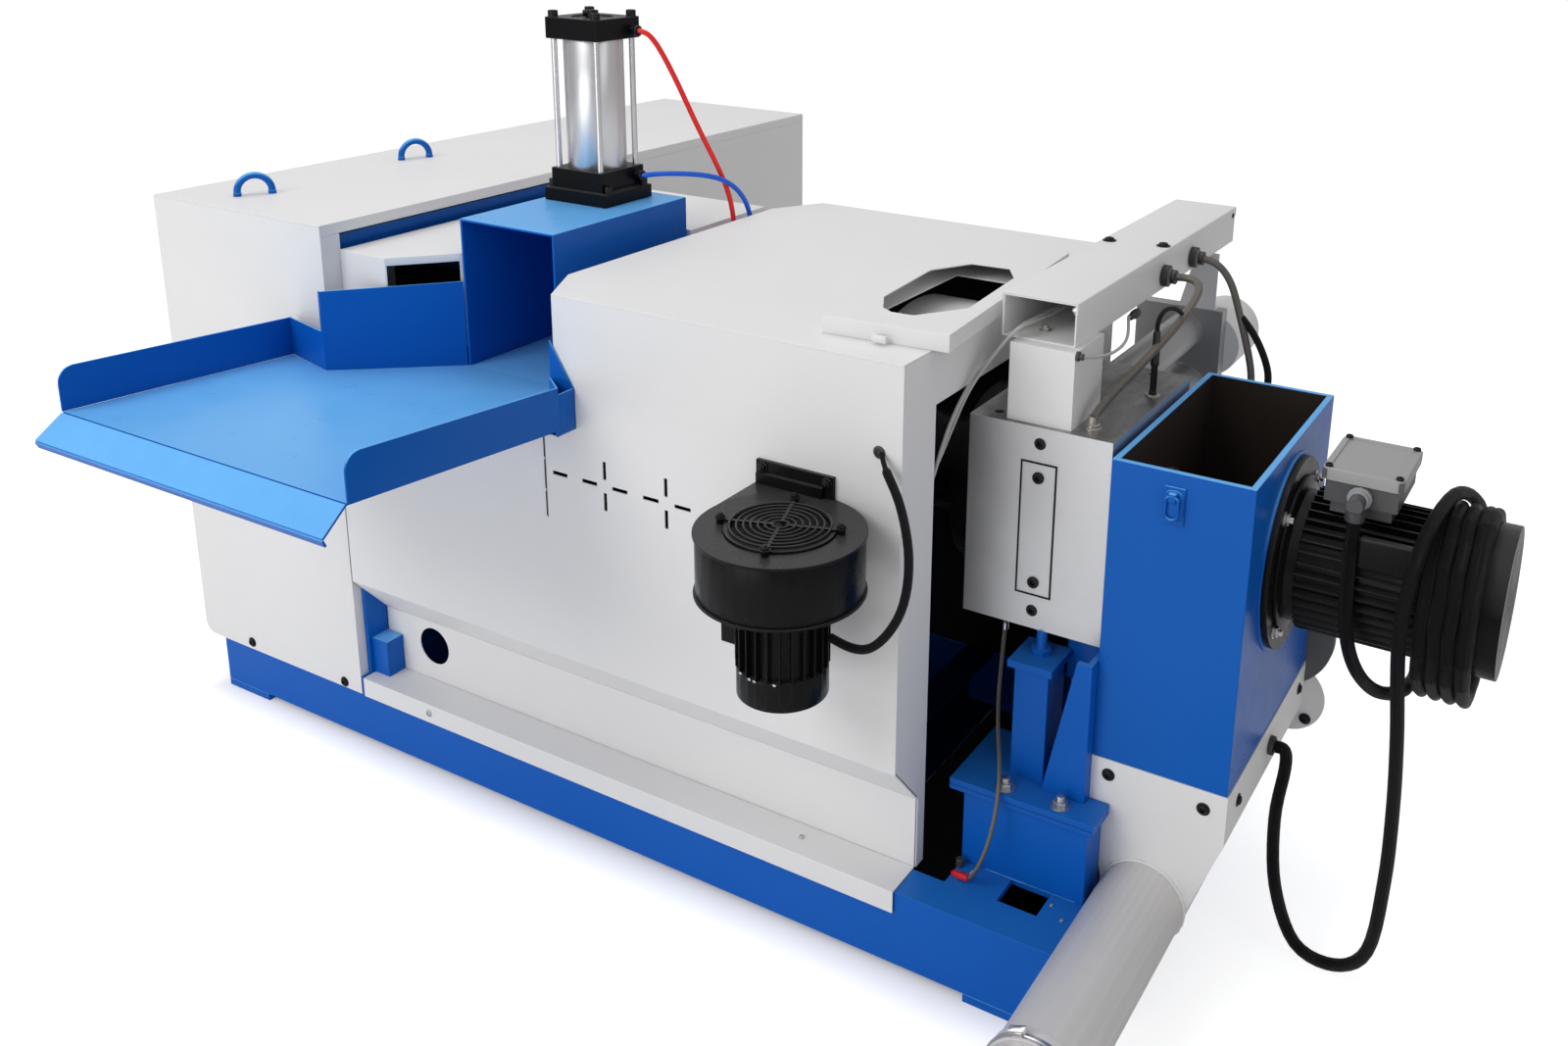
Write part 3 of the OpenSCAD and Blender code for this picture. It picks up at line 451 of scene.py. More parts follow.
def ribbed(name, color, roughness, rings, depth, metallic=0.0, twist=0.0):
    f = Finish(name, color, roughness=roughness, metallic=metallic, specular=0.2)
    along = f.node("ShaderNodeSeparateXYZ", output=1, Vector=f.node("ShaderNodeTexCoord", output="UV"))
    around = f.node("ShaderNodeSeparateXYZ", output=0, Vector=f.node("ShaderNodeTexCoord", output="UV"))
    wave = ((along * rings + around * twist) * (2 * math.pi)).math("SINE") * 0.5 + 0.5
    # The colour follows the same wave as the bump: painted highlight on the crests and painted shade in the troughs; on
    # the braid it is partly the pattern of its strands.
    f.set("Base Color", f.blend(wave, tuple(c * 0.55 for c in color), tuple(c * 1.5 for c in color)))
    f.bump(wave, depth, 0.0016)
    return f.material

conduit = ribbed("black_conduit", (0.014, 0.014, 0.015), 0.42, 150.0, 0.7)
braid = ribbed("braided_hose", (0.20, 0.185, 0.165), 0.42, 90.0, 0.4, metallic=0.6, twist=6.0)
red_tube = plastic("red_hose", (0.90, 0.014, 0.008), 0.3)
blue_tube = plastic("blue_hose", (0.0, 0.11, 0.72), 0.3)

# %% Each CAD node gets its finish
BY_SLOT = {"white_paint": white_paint, "blue_paint": blue_paint, "black_paint": black_paint,
           "polished_aluminium": polished, "ground_steel": ground, "grey_metal": grey_metal,
           "black_conduit": conduit, "braided_hose": braid, "red_hose": red_tube, "blue_hose": blue_tube}
pipe_metal = paint("pipe_satin", (0.72, 0.70, 0.68), 0.34, drift=0.03, specular=0.6)
box_grey = plastic("box_grey", (0.075, 0.075, 0.078), 0.42)
deck_blue = paint("deck_blue", (0.0, 0.105, 0.49), 0.34, drift=0.03, peel=0.04, specular=0.14,
                  painted_top_light=(0.015, 0.15, 0.52))
# Painted shade: the cross rails darken beyond 0.7 m along X, inside the base, and the housing's rear sheet darkens on
# its faces that look into the machine.
shaded_blue = paint("shaded_blue", (0.0, 0.105, 0.47), 0.4, specular=0.1, inner=(0.0, 0.010, 0.04), beyond=0.7)
rear_white_shaded = paint("rear_white_shaded", (0.79, 0.785, 0.78), 0.42, inner=(0.012, 0.012, 0.013))
coil_conduit = ribbed("coil_conduit", (0.014, 0.014, 0.015), 0.36, 900.0, 0.9)
BY_NODE = {"housing_rear": rear_white_shaded, "discharge_pipe": pipe_metal, "terminal_box": box_grey, "die_end_deck": deck_blue,
           "base_rails": deck_blue, "pedestal": deck_blue, "die_supports": deck_blue,
           "base_cross_rails": shaded_blue}
for part in frame["record"]["subparts"]:
    body = nodes[part["node"]]
    body.data.materials.clear()
    body.data.materials.append(BY_NODE.get(part["node"]) or BY_SLOT[part["material_slot"]])

def wear(piece, slot, finish=None):
    piece.data.materials.clear()
    piece.data.materials.append(finish or BY_SLOT[slot])

for cord, slot in ((motor_cable, "black_conduit"), (blower_cord, "black_conduit"),
                   (sensor_cord, "braided_hose"), (red_hose, "red_hose"), (blue_hose, "blue_hose"),
                   (hose_a, "braided_hose"), (hose_b, "braided_hose")):
    wear(cord, slot)
wear(motor_cable, "black_conduit", coil_conduit)
print(len(nodes), "nodes finished")

# %% [markdown]
# Sheet metal, castings and machined blocks never have knife edges. Each rigid CAD node gets three
# live modifiers: Weld joins its loose triangles, Decimate merges the flat ones into whole faces,
# and Bevel rounds every sharp edge by about a millimetre, so that edges catch the light as real
# ones do. The mesh itself stays as it was.

# %% Round the edges of the CAD nodes
LAID = ("red_air_hose", "blue_air_hose", "blower_conduit", "beam_hoses", "motor_conduit", "sensor_cable",
        "cable_coil")
FINE = {"die_block": 1.0, "die_cover_strip": 0.5, "cutter_motor": 0.5, "blower_motor": 0.5,
        "blower_guard": 0.0, "terminal_box": 5.0, "cylinder_head": 2.0, "cylinder_foot": 2.0,
        "throat_hood": 2.0, "cutter_box": 1.5, "tray_floor": 0.3, "tray_walls": 0.4, "tie_rods": 0.0, "cylinder_tube": 0.5}

def soften(body, width):
    weld = body.modifiers.new("join_triangles", "WELD")
    weld.merge_threshold = 0.00002
    flat = body.modifiers.new("whole_faces", "DECIMATE")
    flat.decimate_type = "DISSOLVE"
    flat.angle_limit = math.radians(0.3)
    bevel = body.modifiers.new("soft_edges", "BEVEL")
    bevel.width = width / 1000
    bevel.segments = 2
    bevel.limit_method = "ANGLE"
    bevel.angle_limit = math.radians(38)
    bevel.harden_normals = True
    bevel.use_clamp_overlap = True

softened = 0
for name, body in nodes.items():
    width = FINE.get(name, 1.2)
    if name not in LAID and width > 0:
        soften(body, width)
        softened += 1
print(softened, "nodes have soft edges")

# %% [markdown]
# New pieces start as a primitive and are shaped in edit mode. Four small helpers keep that
# short: one adds a cylinder and one a box with their place already in the mesh, one picks faces
# or edges by a test, and one names the piece, hangs it on the body and gives it its finish.

# %% Modelling helpers
def object_mode():
    if bpy.context.mode != "OBJECT":
        bpy.ops.object.mode_set(mode="OBJECT")

def only(*objects):
    object_mode()
    bpy.ops.object.select_all(action="DESELECT")
    for obj in objects:
        obj.select_set(True)
    bpy.context.view_layer.objects.active = objects[0]

def settle(obj):
    only(obj)
    bpy.ops.object.transform_apply(location=True, rotation=True, scale=True)
    return obj

def rod(radius, height, sides=32, foot=0):
    object_mode()
    bpy.ops.object.select_all(action="DESELECT")
    bpy.ops.mesh.primitive_cylinder_add(vertices=sides, radius=radius / 1000, depth=height / 1000,
                                        location=(0, 0, foot / 1000 + height / 2000))
    return settle(bpy.context.object)

def slab(low, high):
    object_mode()
    bpy.ops.object.select_all(action="DESELECT")
    lo, hi = at(*low), at(*high)
    bpy.ops.mesh.primitive_cube_add(size=1, location=(lo + hi) / 2)
    made = bpy.context.object
    made.scale = hi - lo
    return settle(made)

def pick(obj, test, kind="FACE"):
    only(obj)
    bpy.ops.object.mode_set(mode="EDIT")
    bpy.ops.mesh.select_mode(type=kind)
    bpy.ops.mesh.select_all(action="DESELECT")
    mesh = bmesh.from_edit_mesh(obj.data)
    for item in (mesh.faces if kind == "FACE" else mesh.edges):
        item.select_set(bool(test(item)))
    mesh.select_flush_mode()
    bmesh.update_edit_mesh(obj.data)

def round_off(obj, test, width, segments=3):
    pick(obj, test, "EDGE")
    bpy.ops.mesh.bevel(offset=width / 1000, segments=segments, affect="EDGES")
    object_mode()

def facing(x=0, y=0, z=0):
    way = Vector((x, y, z))
    return lambda face: face.normal.dot(way) > 0.9

def sharp(edge):
    return len(edge.link_faces) == 2 and edge.calc_face_angle() > math.radians(50)

def dress(obj, name, slot, finish=None, angle=35):
    only(obj)
    bpy.ops.object.shade_smooth_by_angle(angle=math.radians(angle))
    obj.name = name
    obj.data.name = name
    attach(obj, "root")
    wear(obj, slot, finish)
    return obj

def turned(direction):
    return Vector((0, 0, 1)).rotation_difference(Vector(direction)).to_matrix().to_4x4()

def copies(template, places, direction, scale=1.0):
    twins = []
    for place in places:
        twin = template.copy()
        twin.data = template.data.copy()
        bpy.context.scene.collection.objects.link(twin)
        twin.matrix_world = (Matrix.Translation(at(*place)) @ turned(direction)
                             @ Matrix.Scale(scale, 4))
        twins.append(twin)
    return twins

def unite(parts, name, slot, finish=None):
    only(*parts)
    if len(parts) > 1:
        bpy.ops.object.join()
    made = settle(bpy.context.object)
    print(name, len(made.data.polygons), "faces")
    return dress(made, name, slot, finish)

# %% [markdown]
# More finishes for the small things: zinc on nuts, black oxide on screws, dark plate inside the
# cutter box, light grey and dark grey plastic, and the red of the sensor tip.

# %% Finishes of the small pieces
zinc = metal("zinc_plate", (0.62, 0.62, 0.60), 0.35, fine=300.0)
oxide = metal("black_oxide", (0.035, 0.035, 0.038), 0.42, fine=300.0)
# A dark brown for the inside of the cutter box.
dark_brown_inside = paint("dark_brown_plate", (0.020, 0.012, 0.008), 0.7, drift=0.05, peel=0.35)
pale_plastic = plastic("pale_grey_plastic", (0.34, 0.35, 0.36), 0.45)
dark_plastic = plastic("dark_grey_plastic", (0.045, 0.045, 0.047), 0.45)
red_plastic = plastic("red_plastic", (0.62, 0.015, 0.02), 0.3)

# %% [markdown]
# A socket screw is a knurled cylinder with a rounded rim and a blind hole for the key. It is
# modelled once, pointing up: the top face is inset and pushed down, then the rim is bevelled.
# A button screw is the same with a lower head and a much larger bevel.

# %% Socket screw, button screw and nut
def screw_head(radius, height, rim, washer=0.0):
    head = rod(radius, height, 28)
    top = height / 1000
    round_off(head, lambda e: all(v.co.z > top * 0.99 for v in e.verts), rim)
    pick(head, lambda f: f.normal.z > 0.99 and f.calc_center_median().z > top * 0.9 and len(f.verts) > 8)
    bpy.ops.mesh.inset(thickness=max(radius - rim - radius * 0.52, 0.3) / 1000)
    bpy.ops.mesh.extrude_region_move(TRANSFORM_OT_translate={"value": (0, 0, -0.55 * top)})
    object_mode()
    if washer:
        disc = rod(washer, 1.6, 28)
        round_off(disc, sharp, 0.4, 2)
        only(head, disc)
        bpy.ops.object.join()
    return head

def nut_on_stud(radius, height, stud):
    nut = rod(radius, height, 6)
    round_off(nut, lambda e: abs(e.verts[0].co.z - e.verts[1].co.z) < 1e-6, 0.9, 2)
    bolt = rod(radius * 0.55, height + stud, 20)
    round_off(bolt, sharp, 1.0, 2)
    disc = rod(radius * 1.35, 2.0, 32)
    round_off(disc, sharp, 0.4, 2)
    only(nut, bolt, disc)
    bpy.ops.object.join()
    return bpy.context.object

socket_screw = screw_head(9.5, 8, 1.0)
button_screw = screw_head(8.5, 6, 2.6, washer=12.5)
small_screw = screw_head(5.5, 4, 1.4)
rod_screw = screw_head(11, 14, 2.0)
foot_screw = screw_head(9, 16, 1.6)
hex_nut = nut_on_stud(13, 11, 9)
small_nut = nut_on_stud(8.5, 7, 4)
print("fastener patterns ready")

# %% Put the fasteners in their places
TIE_X, TIE_Y = (795, 915), (424, 544)
unite(copies(button_screw, [(112, -3, 154), (443, -3, 149)], (0, -1, 0)), "cabinet_screws", "black_paint", oxide)
unite(copies(button_screw, [(2254, 221, 416), (2434, 221, 410)], (0, -1, 0))
      + copies(button_screw, [(2476, 294, 400), (2476, 722, 404)], (1, 0, 0))
      + copies(button_screw, [(2486, 768, 312)], (0, -1, 0)), "hood_screws", "black_paint", oxide)
unite(copies(button_screw, [(1988, 766, 1278.4), (2099, 783, 1278.4)], (0, 0, 1), 1.15), "beam_bolts",
      "black_paint", oxide)
unite(copies(socket_screw, [(2073, 258, 1019), (2073, 258, 686), (2073, 256, 953), (2073, 256, 744)], (0, -1, 0), 1.2),
      "block_screws", "black_paint", oxide)
unite(copies(rod_screw, [(x, y, 1690) for x in TIE_X for y in TIE_Y], (0, 0, 1)), "tie_rod_nuts",
      "black_paint", oxide)
unite(copies(foot_screw, [(x, y, 1310) for x in (774.5, 936.5) for y in (423, 545)], (0, 0, 1)),
      "ram_foot_screws", "black_paint", oxide)
FLANGE = [(2490, 484 + 155 * math.cos(math.radians(a)), 816 + 155 * math.sin(math.radians(a)))
          for a in (45, 135, 225, 315)]
unite(copies(hex_nut, FLANGE, (1, 0, 0), 0.8), "motor_flange_nuts", "grey_metal", zinc)
unite(copies(hex_nut, [(2075, 165, 357), (2185, 166, 357)], (0, 0, 1), 1.1), "pedestal_nuts", "grey_metal", zinc)
GUARD = [(1786 + 104 * math.cos(math.radians(a)), -160 + 104 * math.sin(math.radians(a)), 956)
         for a in (20, 110, 200, 290)]
unite(copies(small_nut, GUARD, (0, 0, 1), 0.85), "guard_nuts", "black_paint", oxide)
unite(copies(small_nut, [(1652, -18, 975), (1788, -18, 975)], (0, -1, 0)), "blower_plate_nuts", "black_paint", oxide)
unite(copies(small_screw, [(2608 + i * 59, 483 + j * 78, 1029.6) for i in (-1, 1) for j in (-1, 1)], (0, 0, 1), 1.2),
      "terminal_screws", "black_paint", oxide)
unite(copies(small_screw, [(725, -3, 159)], (0, -1, 0), 1.5) + copies(small_screw, [(1700, 40, 181)], (0, 0, 1)),
      "sill_screws", "grey_metal", zinc)
unite(copies(small_screw, [(2107, 180, 178), (2198, 118, 178), (2230, 90, 178)], (0, 0, 1), 0.7), "deck_screws",
      "grey_metal", zinc)
unite(copies(small_nut, [(2030, 350, 1200)], (0, 0, 1)) + copies(small_nut, [(2111, 304, 1262)], (-1, 0, 0)),
      "beam_inner_nuts", "grey_metal", zinc)
unite(copies(small_nut, [(2088, 1118, 1067)], (0, 0, 1), 1.2), "rear_foot_nut", "black_paint", oxide)
unite(copies(small_screw, [(2114, 1216, 1262)], (1, 0, 0)), "beam_end_screw", "black_paint", oxide)
for pattern in (socket_screw, button_screw, small_screw, rod_screw, foot_screw, hex_nut, small_nut):
    bpy.data.objects.remove(pattern)

# %% [markdown]
# The cable beam is a folded trough with a folded lid pushed over it; the lid's lower edge is the
# line along its side. The lid starts as a box, loses its underside and both ends, and gets its
# sheet thickness from Solidify.

# %% Lid of the cable beam
lid = slab((1968.4, 289, 1258), (2115.6, 1241, 1278.4))
pick(lid, lambda f: abs(f.normal.y) > 0.9 or f.normal.z < -0.9)
bpy.ops.mesh.delete(type="FACE")
round_off(lid, sharp, 3.0, 3)
only(lid)
skin = lid.modifiers.new("sheet", "SOLIDIFY")
skin.thickness, skin.offset = 0.0012, -1
bpy.ops.object.modifier_apply(modifier="sheet")
dress(lid, "beam_lid", "white_paint")
print("lid of the beam", len(lid.data.polygons), "faces")

# %% [markdown]
# Inside, the cutter box is dark brown. A thin skin half a millimetre in front of the four walls carries that colour, so
# the blue rim stays blue.

# %% Dark skin inside the cutter box
box_low, box_high = (2232.4, 235.4, 448), (2461.6, 753.6, 1032)
skin_box = slab(box_low, box_high)
pick(skin_box, lambda f: abs(f.normal.z) > 0.9)
bpy.ops.mesh.delete(type="FACE")
only(skin_box)
wall = skin_box.modifiers.new("sheet", "SOLIDIFY")
wall.thickness, wall.offset = 0.0004, 1
bpy.ops.object.modifier_apply(modifier="sheet")
dress(skin_box, "box_skin", "blue_paint", dark_brown_inside)

# %% [markdown]
# Gland nuts are short twelve-sided rings. The bore is made by insetting the front face and
# pushing it in, so the cord seems to enter the nut.

# %% Gland nuts
def gland_nut(radius, height, bore, sides=12):
    nut = rod(radius, height, sides)
    top = height / 1000
    round_off(nut, sharp, 0.8, 2)
    pick(nut, lambda f: f.normal.z > 0.99 and f.calc_center_median().z > top * 0.95 and len(f.verts) >= sides)
    bpy.ops.mesh.inset(thickness=(radius - bore - 1) / 1000)
    bpy.ops.mesh.extrude_region_move(TRANSFORM_OT_translate={"value": (0, 0, -0.4 * top)})
    object_mode()
    return nut

beam_gland = gland_nut(20, 11, 9)
elbow_nut = gland_nut(17, 18, 12.4, 24)
hood_nut = gland_nut(19, 10, 12.4)
hose_nut = gland_nut(10, 9, 5.2)
unite(copies(beam_gland, [(2115, 750, 1226), (2115, 930, 1226)], (1, 0, 0), 1.15)
      + copies(beam_gland, [(2134, 750, 1226), (2134, 930, 1226)], (1, 0, 0), 0.75), "beam_gland_nuts",
      "black_paint", dark_plastic)
unite(copies(beam_gland, [(2607, 402, 985)], (0, -1, 0), 1.05) + copies(beam_gland, [(2607, 392, 985)], (0, -1, 0), 0.9),
      "terminal_gland_nut", "grey_metal", pale_plastic)
unite(copies(elbow_nut, [(2607, 369, 973)], (0, 0, -1)), "elbow_nut", "black_paint", dark_plastic)
unite(copies(hood_nut, [(2476.2, 505, 395)], (1, 0, 0)), "hood_gland_nut", "black_paint", dark_plastic)
unite(copies(hose_nut, [(937, 530, 1660), (937, 530, 1334)], (1, 0, 0), 1.25), "ram_fittings", "black_paint", oxide)
for pattern in (beam_gland, elbow_nut, hood_nut, hose_nut):
    bpy.data.objects.remove(pattern)

# %% [markdown]
# On top of the ram sits a black elbow fitting: a hexagon, a neck and a cross piece.

# %% Elbow on the ram
hexagon = rod(15, 9, 6)
round_off(hexagon, sharp, 0.8, 2)
neck = rod(10, 18, 24)
round_off(neck, sharp, 1.2, 2)
bar = rod(7, 34, 24)
round_off(bar, sharp, 1.2, 2)
unite(copies(hexagon, [(855, 484, 1686)], (0, 0, 1)) + copies(neck, [(855, 484, 1686)], (0, 0, 1))
      + copies(bar, [(840, 470, 1697)], (0.7, 0.7, 0)), "ram_elbow", "black_paint", oxide)
for pattern in (hexagon, neck, bar):
    bpy.data.objects.remove(pattern)

# %% [markdown]
# Round parts are easiest to build the way a lathe sees them. A filled circle is extruded up and scaled, step by step,
# along a profile of radius and height. The same helper makes glands, ferrules, pipe bands, rings and lips.

# %% A lathe out of extrude and scale
def turn_on_lathe(profile, sides=40, bore=0.0):
    object_mode()
    bpy.ops.object.select_all(action="DESELECT")
    start, level = profile[0]
    bpy.ops.mesh.primitive_circle_add(vertices=sides, radius=start / 1000, fill_type="NGON",
                                      location=(0, 0, level / 1000))
    made = settle(bpy.context.object)
    bpy.ops.object.mode_set(mode="EDIT")
    bpy.ops.mesh.select_all(action="SELECT")
    radius = start
    for r, z in profile[1:]:
        bpy.ops.mesh.extrude_region_move(TRANSFORM_OT_translate={"value": (0, 0, (z - level) / 1000)})
        if r != radius:
            bpy.ops.transform.resize(value=(r / radius, r / radius, 1), center_override=(0, 0, z / 1000))
        radius, level = r, z
    if bore:
        bpy.ops.mesh.inset(thickness=(radius - bore) / 1000)
        bpy.ops.mesh.extrude_region_move(TRANSFORM_OT_translate={"value": (0, 0, -0.004)})
    bpy.ops.mesh.select_all(action="SELECT")
    bpy.ops.mesh.normals_make_consistent(inside=False)
    object_mode()
    return made

def stand(obj, place, direction=(0, 0, 1)):
    obj.matrix_world = Matrix.Translation(at(*place)) @ turned(direction)
    return obj

# %% [markdown]
# The blower's scroll is closed on top by a sheet that overhangs its wall by a lip, and so is its
# underside. The neck behind it is covered too. Two pale cable clips and a screw sit lower down.

# %% Blower lids, lips and clips
top_sheet = turn_on_lathe([(143, -3.5), (147, -3.5), (147.5, -2.5), (147.5, 1.2), (146.5, 2.0)], 96)
pick(top_sheet, lambda f: f.normal.z > 0.9 and f.calc_center_median().z > 0.0015)
bpy.ops.mesh.inset(thickness=0.0485)
bpy.ops.mesh.extrude_region_move(TRANSFORM_OT_translate={"value": (0, 0, -0.0035)})
bpy.ops.mesh.delete(type="FACE")
object_mode()
stand(top_sheet, (1786, -160, 944))
neck_sheet = slab((1640, -160, 941), (1784, -22, 945.8))
round_off(neck_sheet, sharp, 0.6, 2)
fan_dark = stand(turn_on_lathe([(84, 0), (84, 0.6)], 72), (1786, -160, 944))
unite([fan_dark], "fan_shadow", "black_paint", plastic("deep_black", (0.002, 0.002, 0.002), 0.8))
low_lip = stand(turn_on_lathe([(140, 0), (146, 0), (147.5, 1.2), (147.5, 3.6), (145, 4.4)], 96), (1786, -160, 832.6))
unite([top_sheet, neck_sheet, low_lip], "blower_sheets", "black_paint")
clips = []
for a in (-118, -100, -92, -66):
    clip = slab((1790 + 80 * math.cos(math.radians(a)) - 3, -160 + 80 * math.sin(math.radians(a)) - 2, 697),
                (1790 + 80 * math.cos(math.radians(a)) + 3, -160 + 80 * math.sin(math.radians(a)) + 2, 701.5))
    round_off(clip, sharp, 0.7, 2)
    clips.append(clip)
dot = stand(turn_on_lathe([(5, 0), (5, 2), (3.6, 3.2)], 20), (1725, -184, 722), (0.1, -1, 0))
unite(clips + [dot], "blower_clips", "grey_metal", zinc)

# %% Grommet and bare cable end beside the blower
grommet = stand(turn_on_lathe([(11.5, 0), (11.5, 1.2), (10, 2.4), (9, 2.6)], 40, bore=6.5), (1888, -10, 1053), (0, -1, 0))
unite([grommet], "cable_grommet", "black_paint", dark_plastic)

# %% [markdown]
# The motor is bolted to the box through a blue ring. Its terminal box is dark with a paler lid, whose edge is raised.
# The fan cowl ends in a wire grille over a black disc, painted shade inside the cowl.

# %% Motor ring, terminal lid and fan grille
ring = stand(turn_on_lathe([(185, -2), (187, -0.4), (187, 3), (185.6, 4.4)], 96), (2474, 484, 816), (1, 0, 0))
unite([ring], "motor_ring", "blue_paint")
lid_top = slab((2538.6, 394.6, 1008), (2677.4, 571.4, 1029.6))
round_off(lid_top, lambda e: abs(e.verts[0].co.z - e.verts[1].co.z) > 0.01, 16, 5)
round_off(lid_top, lambda e: all(v.co.z > at(0, 0, 1029)[2] for v in e.verts), 2.2, 3)
pick(lid_top, lambda f: f.normal.z > 0.99 and len(f.verts) > 6)
bpy.ops.mesh.inset(thickness=0.009)
bpy.ops.mesh.extrude_region_move(TRANSFORM_OT_translate={"value": (0, 0, -0.0026)})
bpy.ops.transform.resize(value=(0.985, 0.985, 1), center_override=tuple(at(2608, 483, 1027)))
object_mode()
unite([lid_top], "terminal_lid", "grey_metal", plastic("lid_grey", (0.36, 0.355, 0.35), 0.4))
rings = []
for r in range(16, 106, 11):
    bpy.ops.object.select_all(action="DESELECT")
    bpy.ops.mesh.primitive_torus_add(major_radius=r / 1000, minor_radius=0.0013, major_segments=64, minor_segments=8)
    rings.append(stand(settle(bpy.context.object), (2856.9, 484, 816), (1, 0, 0)))
for k in range(4):
    spoke = rod(1.3, 204, 8, -102)
    rings.append(stand(spoke, (2856.9, 484, 816), (0, math.cos(k * math.pi / 4), math.sin(k * math.pi / 4))))
unite(rings, "fan_grille", "black_paint", dark_plastic)
# A black disc behind the grille: painted shade inside the fan cowl.
cowl_shade_disc = stand(turn_on_lathe([(108, 0), (108, 0.5)], 72), (2857.3, 484, 816), (1, 0, 0))
unite([cowl_shade_disc], "fan_opening", "black_paint", bpy.data.materials["deep_black"])

# %% Smooth pad of the motor housing and its stepped end shield
pad = slab((2622, 351, 876), (2722, 372, 932))
round_off(pad, sharp, 5, 4)
shield = stand(turn_on_lathe([(128, 0), (146, 1), (146, 6), (140, 9), (122, 11), (119, 27)], 72), (2490, 484, 816), (1, 0, 0))
unite([pad, shield], "motor_shield", "black_paint")

# %% [markdown]
# The toggle latch of the cutter box is a rounded plate with a wire bow hanging on its hook.

# %% Latch of the cutter box
plate = slab((2319, 214.6, 949), (2355, 219.2, 1003))
round_off(plate, lambda e: abs(e.verts[0].co.y - e.verts[1].co.y) > 0.003, 15, 6)
round_off(plate, sharp, 0.8, 2)
bpy.ops.object.select_all(action="DESELECT")
bpy.ops.mesh.primitive_torus_add(major_radius=0.0115, minor_radius=0.0024, major_segments=40, minor_segments=10)
bow = settle(bpy.context.object)
pick(bow, lambda f: f.calc_center_median().y < 0)
bpy.ops.transform.translate(value=(0, -0.020, 0))
object_mode()
stand(bow, (2337, 206, 984), (0, -1, 0))
hook = slab((2330, 204, 984), (2344, 216, 1001))
round_off(hook, sharp, 2.4, 3)
unite([plate, bow, hook], "latch_bow", "blue_paint")

# %% [markdown]
# Where the discharge pipe meets the hood there is a weld bead: a torus whose points are shaken a
# little. At its free end a ribbed sleeve is held by two band clamps with a worm screw each.

# %% Weld bead, sleeve and clamps of the pipe
def weld_ring(radius, bead, place, direction, seed):
    bpy.ops.object.select_all(action="DESELECT")
    bpy.ops.mesh.primitive_torus_add(major_radius=radius / 1000, minor_radius=bead / 1000, major_segments=120,
                                     minor_segments=8)
    ring = settle(bpy.context.object)
    pick(ring, lambda f: True)
    bpy.ops.transform.vertex_random(offset=0.0011, seed=seed)
    object_mode()
    return stand(ring, place, direction)

PIPE_X, PIPE_Z, PIPE_R = 2335.0, 178.0, 80.0
unite([weld_ring(PIPE_R + 1, 3.4, (PIPE_X, 219.5, PIPE_Z), (0, 1, 0), 3)], "pipe_weld", "white_paint")
def band(width, height):
    r = PIPE_R + 4 + height
    return turn_on_lathe([(r - 3, 0), (r, 1.4), (r, width * 0.3), (r + 1.6, width * 0.42), (r + 1.6, width * 0.58),
                          (r, width * 0.7), (r, width - 1.4), (r - 3, width)], 72)

bands = [stand(band(15, 1.6), (PIPE_X, -266, PIPE_Z), (0, -1, 0)), stand(band(15, 1.6), (PIPE_X, -300, PIPE_Z), (0, -1, 0))]
screws = []
for y, a in ((-273, 108), (-307, 62)):
    c, s = math.cos(math.radians(a)), math.sin(math.radians(a))
    barrel = rod(6.5, 30, 20, -15)
    round_off(barrel, sharp, 1.6, 2)
    saddle = slab((74 - 9, 75 - 7, -5), (74 + 9, 75 + 7, 3))
    round_off(saddle, sharp, 1.2, 2)
    r = PIPE_R + 13
    screws += [stand(barrel, (PIPE_X + r * c, y, PIPE_Z + r * s), (s, 0.12, -c)),
               stand(saddle, (PIPE_X + (r - 4) * c, y, PIPE_Z + (r - 4) * s), (c, 0, s))]
unite(bands, "pipe_bands", "ground_steel", metal("band_steel", (0.50, 0.50, 0.50), 0.32, brush=(1, 0.05, 1)))
unite(screws, "band_screws", "grey_metal", metal("bright_zinc", (0.80, 0.80, 0.80), 0.2))

# %% [markdown]
# A round white flange and a dark round cover stand behind the hood and the box. Only their
# right edges show in the photograph.

# %% Flange and cover behind the hood
flange = stand(turn_on_lathe([(79, 0), (80, 0.6), (80, 3.4), (79, 4)], 72), (2442, 772.5, 356), (0, -1, 0))
unite([flange], "hood_flange", "white_paint")
cover = stand(turn_on_lathe([(110, 0), (128, 6), (128, 22), (124, 24)], 72), (2400, 790.5, 500), (0, -1, 0))
unite([cover], "rear_cover", "grey_metal", plastic("dull_grey", (0.10, 0.10, 0.10), 0.5))

# %% [markdown]
# The ram's ports, the beam's glands and the probe are turned parts as well.

# %% Probe, glands and ferrules
probe = [stand(turn_on_lathe([(13, 0), (13, 3), (8, 3.2), (8, 8), (6.4, 9), (6.4, 60), (8.4, 62), (8.4, 96), (7, 98), (7, 126),
                              (5, 130)], 32), (2185, 523, 1050))]
unite([probe[0]], "pressure_probe", "black_paint", plastic("probe_black", (0.012, 0.012, 0.013), 0.25))
foot_ring = stand(turn_on_lathe([(15, 0), (15, 2.2), (13.5, 3.2)], 36), (2185, 523, 1050))
ferrule = stand(turn_on_lathe([(16, 0), (16, 3), (13.4, 4.4), (13.4, 9), (10.6, 11), (10.6, 24)], 36), (2153, 298, 1050))
unite([foot_ring, ferrule], "block_ferrules", "grey_metal", metal("worn_nickel", (0.55, 0.52, 0.47), 0.36))
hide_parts("beam_hoses")
collar_profile = [(17, 0), (19, 1), (19, 7), (18, 8), (18, 10), (19, 11), (19, 15), (14, 19), (11.5, 19.5), (11.5, 25)]
collars = [stand(turn_on_lathe(collar_profile, 20), (2114, y, 1226), (1, 0, 0)) for y in (750, 930)]
